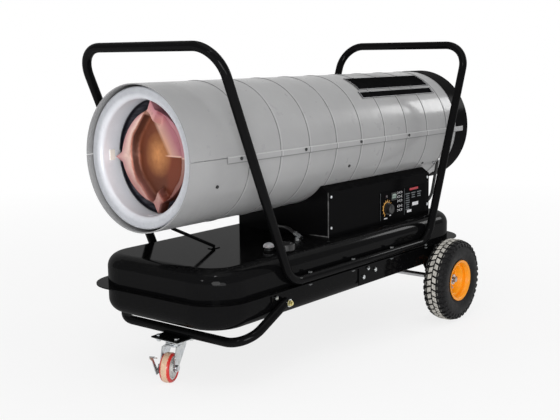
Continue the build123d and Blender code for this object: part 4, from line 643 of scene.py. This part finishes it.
# -------- repeats with Geometry Nodes
def ring_tree(name):
    """A tree that sets copies of a template round an axis along Y, in rows mirrored to both sides."""
    tree = bpy.data.node_groups.new(name, "GeometryNodeTree")
    for label, kind in (("Geometry", "Geometry"), ("Template", "Object"), ("Centre", "Vector"),
                        ("Count", "Int"), ("Radius", "Float"), ("Offset", "Float"), ("Phase", "Float"),
                        ("Tilt", "Float"), ("Material", "Material")):
        tree.interface.new_socket(label, in_out="INPUT", socket_type="NodeSocket" + kind)
    tree.interface.new_socket("Geometry", in_out="OUTPUT", socket_type="NodeSocketGeometry")
    n = Nodes(tree)
    source = n.add("NodeGroupInput").outputs
    template = n.add("GeometryNodeObjectInfo", source["Template"], transform_space="ORIGINAL")
    index = n.add("GeometryNodeInputIndex").outputs[0]
    join = n.add("GeometryNodeJoinGeometry")
    for side in (-1.0, 1.0):
        shifted = index if side < 0 else n.math("ADD", index, source["Phase"])
        turn = n.product(n.math("DIVIDE", shifted, source["Count"]), 2 * math.pi)
        place = n.xyz(n.product(n.math("COSINE", turn), source["Radius"]), n.product(source["Offset"], side),
                      n.product(n.math("SINE", turn), source["Radius"]))
        points = n.add("GeometryNodePoints", source["Count"], n.vector("ADD", place, source["Centre"])[0])
        tilted = n.xyz(z=n.product(source["Tilt"], side))
        rotate = n.add("FunctionNodeRotateRotation", tilted, n.xyz(y=n.math("SUBTRACT", 0.0, turn)),
                       rotation_space="GLOBAL")
        copies = n.add("GeometryNodeInstanceOnPoints",
                       named={"Points": points.outputs[0], "Instance": template.outputs["Geometry"],
                              "Rotation": rotate.outputs[0], "Scale": (1.0, side, 1.0)})
        n.plug(copies.outputs[0], join.inputs[0])
    real = n.add("GeometryNodeRealizeInstances", join.outputs[0])
    painted = n.add("GeometryNodeSetMaterial",
                    named={"Geometry": real.outputs[0], "Material": source["Material"]})
    n.add("NodeGroupOutput", painted.outputs[0])
    return tree


def ring_mesh(name, tree, maker, **values):
    """Run a tree on an empty mesh with a template and named inputs, and return the plain mesh."""
    template = placed(name + "_template", mesh_of(name + "_template", maker))
    carrier = placed(name + "_carrier", bpy.data.meshes.new(name + "_carrier"))
    modifier = carrier.modifiers.new("repeat", "NODES")
    modifier.node_group = tree
    keys = {item.name: item.identifier for item in tree.interface.items_tree if item.in_out == "INPUT"}
    for label, value in (("Template", template), *values.items()):
        modifier[keys[label]] = value
    bpy.context.view_layer.update()
    graph = bpy.context.evaluated_depsgraph_get()
    mesh = bpy.data.meshes.new_from_object(carrier.evaluated_get(graph), depsgraph=graph)
    mesh.name = name
    for item in (template, carrier):
        data = item.data
        bpy.data.objects.remove(item)
        bpy.data.meshes.remove(data)
    return mesh


# -------- operators
class HEATER_OT_camera(bpy.types.Operator):
    """Set the camera at the photograph's viewing angle"""
    bl_idname = "heater.camera"
    bl_label = "Camera"

    def execute(self, context):
        yaw, pitch, roll = 0.680224, -0.161406, -0.012337
        place = (at(-1628.1), -1.7767, 0.8522)
        ahead = Vector((math.cos(yaw) * math.cos(pitch), math.sin(yaw) * math.cos(pitch), math.sin(pitch)))
        right = Vector((math.sin(yaw), -math.cos(yaw), 0))
        up = right.cross(ahead)
        tilted = right * math.cos(roll) + up * math.sin(roll)
        upright = up * math.cos(roll) - right * math.sin(roll)
        data = bpy.data.cameras.new("camera")
        data.lens = 61.757
        data.sensor_width = 36.0
        data.sensor_fit = "HORIZONTAL"
        data.clip_end = 60
        camera = placed("camera", data)
        turn = Matrix((tilted, upright, -ahead)).transposed().to_4x4()
        camera.matrix_world = Matrix.Translation(place) @ turn
        context.scene.camera = camera
        return {"FINISHED"}


class HEATER_OT_stage(bpy.types.Operator):
    """Lay the white floor and backdrop, and hang the lamps"""
    bl_idname = "heater.stage"
    bl_label = "Stage"

    def execute(self, context):
        light = context.scene.heater_light
        world = bpy.data.worlds.new("studio")
        context.scene.world = world
        world.use_nodes = True
        plain = world.node_tree.nodes["Background"].inputs
        plain["Color"].default_value = (1, 1, 1, 1)
        plain["Strength"].default_value = light.sky
        self.sweep()
        for name, place, aim, size, watts in (
                ("key", (-0.6, -0.6, 3.4), (0, 0, 0.5), 3.2, light.key),
                ("fill", (-2.9, -2.5, 0.75), (0, 0, 0.5), 1.5, light.fill),
                ("side", (2.7, -1.05, 1.55), (0.1, 0, 0.6), 0.7, light.side),
                ("low", (-1.7, -2.3, 0.25), (0, 0, 0.55), 0.9, light.low),
                ("overhead_spark", (-1.6, -1.2, 3.0), (-0.2, 0, 0.5), 0.28, light.spark),
                ("front_spark", (-3.6, -0.5, 1.7), (-0.5, 0, 0.6), 0.30, light.spark)):
            data = bpy.data.lights.new(name, "AREA")
            data.shape = "DISK"
            data.size = size
            data.energy = watts
            lamp = placed(name, data)
            lamp.location = place
            lamp.rotation_euler = (Vector(aim) - Vector(place)).to_track_quat("-Z", "Y").to_euler()
        return {"FINISHED"}

    def sweep(self):
        """One sheet: the floor, a wide bend and the wall far behind the heater."""
        ahead = Vector((0.777, 0.629, 0))
        across = Vector((0.629, -0.777, 0))
        reach, bend, wall, top, steps = 16.0, 3.0, 7.0, 12.0, 24
        line = [(-reach, 0.0)]
        for k in range(steps + 1):
            turn = math.pi / 2 * k / steps
            line.append((wall - bend + bend * math.sin(turn), bend - bend * math.cos(turn)))
        line.append((wall, top))

        def maker(bm):
            rows = [[bm.verts.new(ahead * along + across * side + Vector((0, 0, z)))
                     for side in (-reach, reach)] for along, z in line]
            for low, high in zip(rows, rows[1:]):
                bm.faces.new((low[0], low[1], high[1], high[0]))

        sweep = placed("sweep", mesh_of("sweep", maker, outward=False))
        sweep.data.shade_smooth()
        sweep.data.materials.append(self.white())
        return sweep

    def white(self):
        """Matt white that the camera, mirrors and clear parts see nearly full white, with its shadow."""
        s = Surface("sweep_white")
        matt = s.add("ShaderNodeBsdfDiffuse", grey(0.90))
        glow = s.add("ShaderNodeEmission", named={"Strength": 1.0})
        ray = s.add("ShaderNodeLightPath").outputs
        seen = s.math("MAXIMUM", s.math("MAXIMUM", ray["Is Camera Ray"], ray["Is Glossy Ray"]),
                      ray["Is Transmission Ray"])
        fade = s.range(s.vector("LENGTH", s.place)["Value"], 0.5, 3.6, 0.80, 1.0)
        return s.show(s.add("ShaderNodeMixShader", s.product(seen, fade), matt.outputs[0], glow.outputs[0]))


class HEATER_OT_finishes(bpy.types.Operator):
    """Give every fixed node its finish"""
    bl_idname = "heater.finishes"
    bl_label = "Finishes"

    def execute(self, context):
        mix_finishes()
        slots = {part["node"]: part["material_slot"] for part in frame["record"]["subparts"]}
        for name, node in frame["nodes"].items():
            node.data.materials.clear()
            node.data.materials.append(finishes[slots[name]])
        return {"FINISHED"}


class HEATER_OT_tyres(bpy.types.Operator):
    """Build both pneumatic tyres with their tread lugs"""
    bl_idname = "heater.tyres"
    bl_label = "Tyres"

    crown = 0.1245
    bead = 0.0625

    def execute(self, context):
        tree = ring_tree("tread_ring")
        for side, body, node in ((-1, "near_wheel", "near_tyre"), (1, "far_wheel", "far_tyre")):
            centre = AXLE + Vector((0, side * HALF_TRACK, 0))
            carcass = mesh_of(node + "_carcass", lambda bm: lathe(bm, self.section(), centre, (0, 1, 0), 120))
            meshes = [carcass] + self.tread(tree, node, centre)
            piece = joined(node + "_dressed", meshes, "tyre_rubber", body, 35)
            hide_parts(node)
        return {"FINISHED"}

    def section(self):
        """Outline of the carcass as (across, radius), outside then inside."""
        wall, narrower = 0.005, 0.72
        half = [(0.000, self.crown), (0.014, 0.1242), (0.024, 0.1225), (0.0305, 0.1185), (0.0345, 0.112),
                (0.0368, 0.104), (0.0375, 0.096), (0.0368, 0.087), (0.0345, 0.078), (0.0318, 0.0715),
                (0.0325, 0.0695), (0.0312, 0.067), (0.0302, self.bead)]
        outside = [(-a, r) for a, r in reversed(half[1:])] + half
        inside = [(a * narrower, self.bead if r < 0.066 else r - wall) for a, r in reversed(half)]
        inside += [(-a, r) for a, r in reversed(inside[:-1])]
        return outside + inside

    def tread(self, tree, name, centre):
        """The middle, shoulder and wall rows of blocks, each on both sides of the tyre."""
        lugs = sizes().lug_count
        high = sizes().lug_height
        pitch = 2 * math.pi * self.crown / lugs
        rows = []
        for row, width, share, low, lean, radius, offset, tilt in (
                ("middle", 0.0125, 0.74, 1.0, 0.0022, 0.1243, 0.0083, 0.0),
                ("shoulder", 0.0125, 0.52, 0.86, -0.002, 0.1218, 0.0238, 0.30),
                ("wall", 0.0105, 0.42, 0.6, 0.0, 0.1125, 0.0333, 1.05)):
            rows.append(ring_mesh(f"{name}_{row}", tree, self.block(width, pitch * share, high * low, lean),
                                  Centre=centre, Count=lugs, Radius=radius, Offset=offset, Phase=0.5,
                                  Tilt=tilt, Material=finishes["tyre_rubber"]))
        return rows

    def block(self, width, length, height, lean):
        """Maker of one leaning tread block, sunk into the carcass and rounded at its top."""
        def maker(bm):
            loft(bm, [[(level, a * (width / 2 - inset), b * (length / 2 - inset) + a * lean)
                       for a, b in CORNERS]
                      for level, inset in ((-0.003, -0.0004), (height - 0.0012, 0.0), (height, 0.0011))])
        return maker


class HEATER_OT_plates(bpy.types.Operator):
    """Fix the bare black plates on the near side of the drum"""
    bl_idname = "heater.plates"
    bl_label = "Drum plates"

    sheet = 0.0004

    def execute(self, context):
        self.plate("upper_plate", 801, 1217, 69.6, 49.5)
        self.plate("lower_plate", 788, 1211, 47.0, 39.0)
        return {"FINISHED"}

    def plate(self, name, first, last, top, bottom):
        """A plate between two stations and two angles above the horizontal, with a line near its edge."""
        lift = sizes().plate_lift
        self.skin(name, first, last, top, bottom, lift, self.sheet, "plate_black", "black_plastic")
        inset, edge, ink_mm, ink_deg = 4, 0.35, 1.2, 0.35
        low, high = bottom + edge, top - edge
        for k, limits in enumerate(((first + inset, last - inset, high, high - ink_deg),
                                    (first + inset, last - inset, low + ink_deg, low),
                                    (first + inset, first + inset + ink_mm, high, low),
                                    (last - inset - ink_mm, last - inset, high, low))):
            self.skin(f"{name}_line_{k}", *limits, lift + self.sheet, 0.0001, "white_ink", "caster_hub_grey")

    def skin(self, name, first, last, top, bottom, lift, thick, finish, slot):
        """A thin sheet that follows the drum over its beads."""
        steps = max(2, int((last - first) / 1.5))
        rows = max(2, int((top - bottom) / 0.8))

        def point(i, j, depth):
            station = first + (last - first) * i / steps
            turn = math.radians(bottom + (top - bottom) * j / rows)
            r = DRUM_R + lift + depth + self.bead(station)
            return at(station), -r * math.cos(turn), DRUM_Z + r * math.sin(turn)

        def maker(bm):
            layers = [[[bm.verts.new(point(i, j, depth)) for j in range(rows + 1)] for i in range(steps + 1)]
                      for depth in (0.0, thick)]
            for layer in layers:
                for here, there in zip(layer, layer[1:]):
                    for j in range(rows):
                        bm.faces.new((here[j], there[j], there[j + 1], here[j + 1]))
            rim = [(i, 0) for i in range(steps)] + [(steps, j) for j in range(rows)]
            rim += [(i, rows) for i in range(steps, 0, -1)] + [(0, j) for j in range(rows, 0, -1)]
            low, high = layers
            for (i, j), (m, n) in zip(rim, rim[1:] + rim[:1]):
                bm.faces.new((low[i][j], low[m][n], high[m][n], high[i][j]))

        new_piece(name, maker, finish, slot=slot)

    def bead(self, station):
        """Height of the nearest bead under the sheet."""
        half, rise = 4.5, 0.0015
        away = min(abs(station - (BEAD_FIRST + BEAD_PITCH * k)) for k in range(BEAD_COUNT))
        return rise * max(0.0, 1 - (away / half) ** 2)


class HEATER_OT_panel(bpy.types.Operator):
    """Print the dial scale, the marks and the blank fields on the control panel"""
    bl_idname = "heater.panel"
    bl_label = "Panel print"

    print_thick = 0.00025

    def execute(self, context):
        self.dial()
        self.fields()
        self.marks()
        return {"FINISHED"}

    def put(self, bm, station, z, width, height, tilt=0.0):
        """One printed bar, with its station, height on the panel and sizes in millimetres."""
        across = Vector((math.cos(tilt), 0, math.sin(tilt)))
        up = Vector((-math.sin(tilt), 0, math.cos(tilt)))
        slab(bm, (at(station), PANEL_Y, z / 1000), across, up, (0, -1, 0), width / 1000, height / 1000,
             self.print_thick)

    def bars(self, name, bars, finish, slot):
        """One flat piece of several printed bars."""
        new_piece(name, lambda bm: [self.put(bm, *bar) for bar in bars], finish, smooth=0, slot=slot)

    def dial(self):
        """A crescent with rays from lower left over the top to the right."""
        inner, thin, swell, ray_r, steps = 20.6, 1.2, 2.8, 26.0, 48

        def section(share):
            turn = math.radians(238 - 205 * share)
            wide = thin + swell * (math.sin(math.pi * share * 1.25) if share < 0.8 else (1 - share) / 2)
            return [(at(DIAL_STATION + r * math.cos(turn)), PANEL_Y - depth,
                     (DIAL_Z + r * math.sin(turn)) / 1000)
                    for r, depth in ((inner, 0.0), (inner + wide, 0.0), (inner + wide, self.print_thick),
                                     (inner, self.print_thick))]

        def maker(bm):
            loft(bm, [section(k / steps) for k in range(steps + 1)])
            ticks = sizes().tick_count
            for k in range(ticks):
                turn = math.radians(232 - 195 * k / (ticks - 1))
                self.put(bm, DIAL_STATION + ray_r * math.cos(turn), DIAL_Z + ray_r * math.sin(turn),
                         5.0, 1.9, turn)

        new_piece("dial_scale", maker, "dial_ink", smooth=0, slot="rim_orange")

    def fields(self):
        """Bare print fields in place of the photograph's text."""
        self.bars("panel_divider", [(station, 378.5, 0.9, 86) for station in (849.5, 990.5)],
                  "grey_ink", "panel_paint")
        self.bars("panel_bar", [(1048, 415, 52, 7)], "red_ink", "caster_red")
        self.bars("panel_blanks", [(1057, 365, 37, 11), (1020, 345, 27, 8)], "white_ink", "caster_hub_grey")
        rows = [(column, 402 - row * 7.2, 26 - (row * 7) % 9, 3.0)
                for column, lines in ((1010, 8), (1045, 3), (1080, 3)) for row in range(lines)]
        self.bars("panel_rows", rows, "grey_ink", "panel_paint")

    def marks(self):
        """A column of generic pictograms of two slanted bars each, and two bars under the dial."""
        bars = []
        for row, z in enumerate((414, 401, 388, 371, 358)):
            for k in range(3):
                way = 1 if (row + k) % 2 else -1
                bars += [(951 + 11 * k, z, 7.5, 1.5, math.radians(25 * way)),
                         (951 + 11 * k, z - 4.2, 7.5, 1.5, math.radians(-20 * way))]
        bars += [(880, 339, 19, 3.6), (906, 346, 8, 3.6)]
        self.bars("panel_marks", bars, "white_ink", "caster_hub_grey")


class HEATER_OT_spreader(bpy.types.Operator):
    """Press the creased four-pointed flame spreader"""
    bl_idname = "heater.spreader"
    bl_label = "Flame spreader"

    def execute(self, context):
        piece = new_piece("flame_spreader_pressed", self.star, "heated_steel", smooth=50)
        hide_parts("flame_spreader")
        new_piece("outlet_tab", self.tab, "ceramic", slot="galvanised")
        return {"FINISHED"}

    def tab(self, bm):
        """A pale tab bent flat on the outlet's wall before the far ear."""
        slab(bm, (at(52.5), 0.1480, DRUM_Z - 0.002), (1, 0, 0), (0, 0, 1), (0, -1, 0),
             width=0.018, height=0.028, thick=0.0022, bevel=0.0008)

    def arc(self, turn, corner, side):
        """Radius at an angle of a four-cornered outline whose sides are arcs through given radii."""
        sag = side - corner * math.cos(math.pi / 4)
        half = corner * math.sin(math.pi / 4)
        radius = (half * half + sag * sag) / (2 * abs(sag))
        bulge = math.copysign(1, sag)
        centre = side - bulge * radius
        along = centre * math.cos(turn % (math.pi / 2) - math.pi / 4)
        return along + bulge * math.sqrt(max(0.0, along * along - centre * centre + radius * radius))

    def outline(self, turn):
        """Radius of the round-sided body or of its ears, whichever reaches further."""
        body = self.arc(turn, corner=0.122, side=0.114)
        ears = self.arc(turn, corner=0.145, side=0.084)
        return max(body, ears)

    def depth(self, radius, turn):
        """How far back the sheet lies: a sloping rim, then a steep wall down to the floor."""
        reach = self.outline(turn)
        ear = abs(math.cos(2 * turn))
        upright = math.cos(turn) ** 2 > 0.5
        # the floor reaches into the upper and lower ears, but not to their tips
        widening = 0.024 * ear ** 2 - 0.032 * ear ** 40 if upright else -0.006 * ear ** 2
        floor, wall, rim_share = 0.086 + widening, 0.014, 0.16
        edge = floor + wall
        if radius >= edge:
            return sizes().crease * rim_share * (reach - radius) / (reach - edge)
        share = min(1.0, (edge - radius) / (edge - floor))
        return sizes().crease * (rim_share + (1 - rim_share) * share * share * (3 - 2 * share))

    def star(self, bm):
        """Front and rear skin of the sheet, each a fan of rays with a skirt that runs back."""
        sheet, fold, skirt = 0.0016, 0.0012, 0.048
        front_x = at(RIM_STATION)
        rays, steps = 240, 34
        tilt = math.radians(3.0)
        skins = []
        for back in (0.0, sheet):
            grid = []
            for k in range(rays):
                turn = 2 * math.pi * k / rays
                reach = self.outline(turn) - back
                places = [(front_x + self.depth(reach * i / steps, turn) + back, reach * i / steps)
                          for i in range(1, steps + 1)]
                places += [(front_x + fold + back, reach + 0.0001), (front_x + skirt, reach - 0.0004)]
                grid.append([bm.verts.new((x, r * math.sin(turn + tilt), DRUM_Z + r * math.cos(turn + tilt)))
                             for x, r in places])
            middle = bm.verts.new((front_x + self.depth(0.0, 0.0) + back, 0, DRUM_Z))
            for here, there in zip(grid, grid[1:] + grid[:1]):
                bm.faces.new((middle, here[0], there[0]))
                for i in range(len(here) - 1):
                    bm.faces.new((here[i], here[i + 1], there[i + 1], there[i]))
            skins.append(grid)
        front, rear = skins
        for k in range(rays):
            m = (k + 1) % rays
            bm.faces.new((front[k][-1], front[m][-1], rear[m][-1], rear[k][-1]))


class HEATER_OT_hardware(bpy.types.Operator):
    """Add the hub nuts, and the nuts and washers on the front frame's arms"""
    bl_idname = "heater.hardware"
    bl_label = "Small hardware"

    hub_y, bolt_circle, bolt_count = 0.3055, 0.027, 4
    arm_station, arm_z, sunk = 285, 0.2075, 0.0012
    washer_r, washer_thick = 0.0105, 0.0014
    larger, stand_off = 1.25, 0.0022

    def execute(self, context):
        tree = ring_tree("hub_ring")
        for side, body in ((-1, "near_wheel"), (1, "far_wheel")):
            centre = AXLE + Vector((0, side * self.hub_y, 0))
            mesh = ring_mesh(f"hub_bolts_{body}", tree, lambda bm: self.nut(bm, side), Centre=centre,
                             Count=self.bolt_count, Radius=self.bolt_circle, Offset=0.0, Phase=0.0,
                             Material=finishes["zinc_plate"])
            joined(f"hub_nuts_{body}", [mesh], "zinc_plate", body)
        washer = ((0.0, 0.0), (0.0, self.washer_r),
                  (self.washer_thick, self.washer_r), (self.washer_thick, 0.0))
        low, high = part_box("front_frame")
        for side, y, name in ((-1, low[1], "near"), (1, high[1], "far")):
            place = Vector((at(self.arm_station), y - side * self.sunk, self.arm_z))
            new_piece(f"arm_washer_{name}", lambda bm: lathe(bm, washer, place, (0, side, 0), 40),
                      "zinc_plate")
            new_piece(f"arm_nut_{name}", lambda bm: self.arm_nut(bm, place, side), "yellow_zinc",
                      slot="zinc_plate")
        return {"FINISHED"}

    def arm_nut(self, bm, place, side):
        """A wider nut that stands on its washer."""
        self.nut(bm, side)
        bmesh.ops.scale(bm, vec=(self.larger, 1.0, self.larger), verts=bm.verts)
        bmesh.ops.translate(bm, vec=place + Vector((0, side * self.stand_off, 0)), verts=bm.verts)

    def nut(self, bm, side):
        """A hexagon nut at the origin with the bolt's end standing out of it, as (level, radius) rings."""
        profile = ((-0.001, 0.0065), (0.0045, 0.0065), (0.0055, 0.0052), (0.0056, 0.0034), (0.0085, 0.0034))
        corners = [math.radians(60 * k) for k in range(6)]
        loft(bm, [[(r * math.cos(turn), side * level, r * math.sin(turn)) for turn in corners]
                  for level, r in profile])


class HEATER_PT_panel(bpy.types.Panel):
    """Steps and settings of the heater's looks"""
    bl_idname = "HEATER_PT_panel"
    bl_label = "Forced air heater"
    bl_space_type = "VIEW_3D"
    bl_region_type = "UI"
    bl_category = "Heater"

    def draw(self, context):
        for group in (context.scene.heater_paints, context.scene.heater_sizes, context.scene.heater_light):
            box = self.layout.box()
            for name in group.__annotations__:
                box.prop(group, name)
        for operator in operators:
            self.layout.operator(operator.bl_idname)


settings = (HeaterPaints, HeaterSizes, HeaterLight)
operators = (HEATER_OT_camera, HEATER_OT_stage, HEATER_OT_finishes, HEATER_OT_tyres, HEATER_OT_plates,
             HEATER_OT_panel, HEATER_OT_spreader, HEATER_OT_hardware)


def register():
    for item in settings + operators + (HEATER_PT_panel,):
        bpy.utils.register_class(item)
    bpy.types.Scene.heater_paints = PointerProperty(type=HeaterPaints)
    bpy.types.Scene.heater_sizes = PointerProperty(type=HeaterSizes)
    bpy.types.Scene.heater_light = PointerProperty(type=HeaterLight)


def unregister():
    del bpy.types.Scene.heater_light
    del bpy.types.Scene.heater_sizes
    del bpy.types.Scene.heater_paints
    for item in reversed(settings + operators + (HEATER_PT_panel,)):
        bpy.utils.unregister_class(item)


def main():
    """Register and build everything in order."""
    register()
    bpy.context.scene.view_settings.view_transform = "Standard"
    for operator in operators:
        group, name = operator.bl_idname.split(".")
        result = getattr(getattr(bpy.ops, group), name)()
        if result != {"FINISHED"}:
            raise RuntimeError(f"{operator.bl_label} did not finish")
    bpy.context.view_layer.update()


if __name__ == "__main__":
    main()
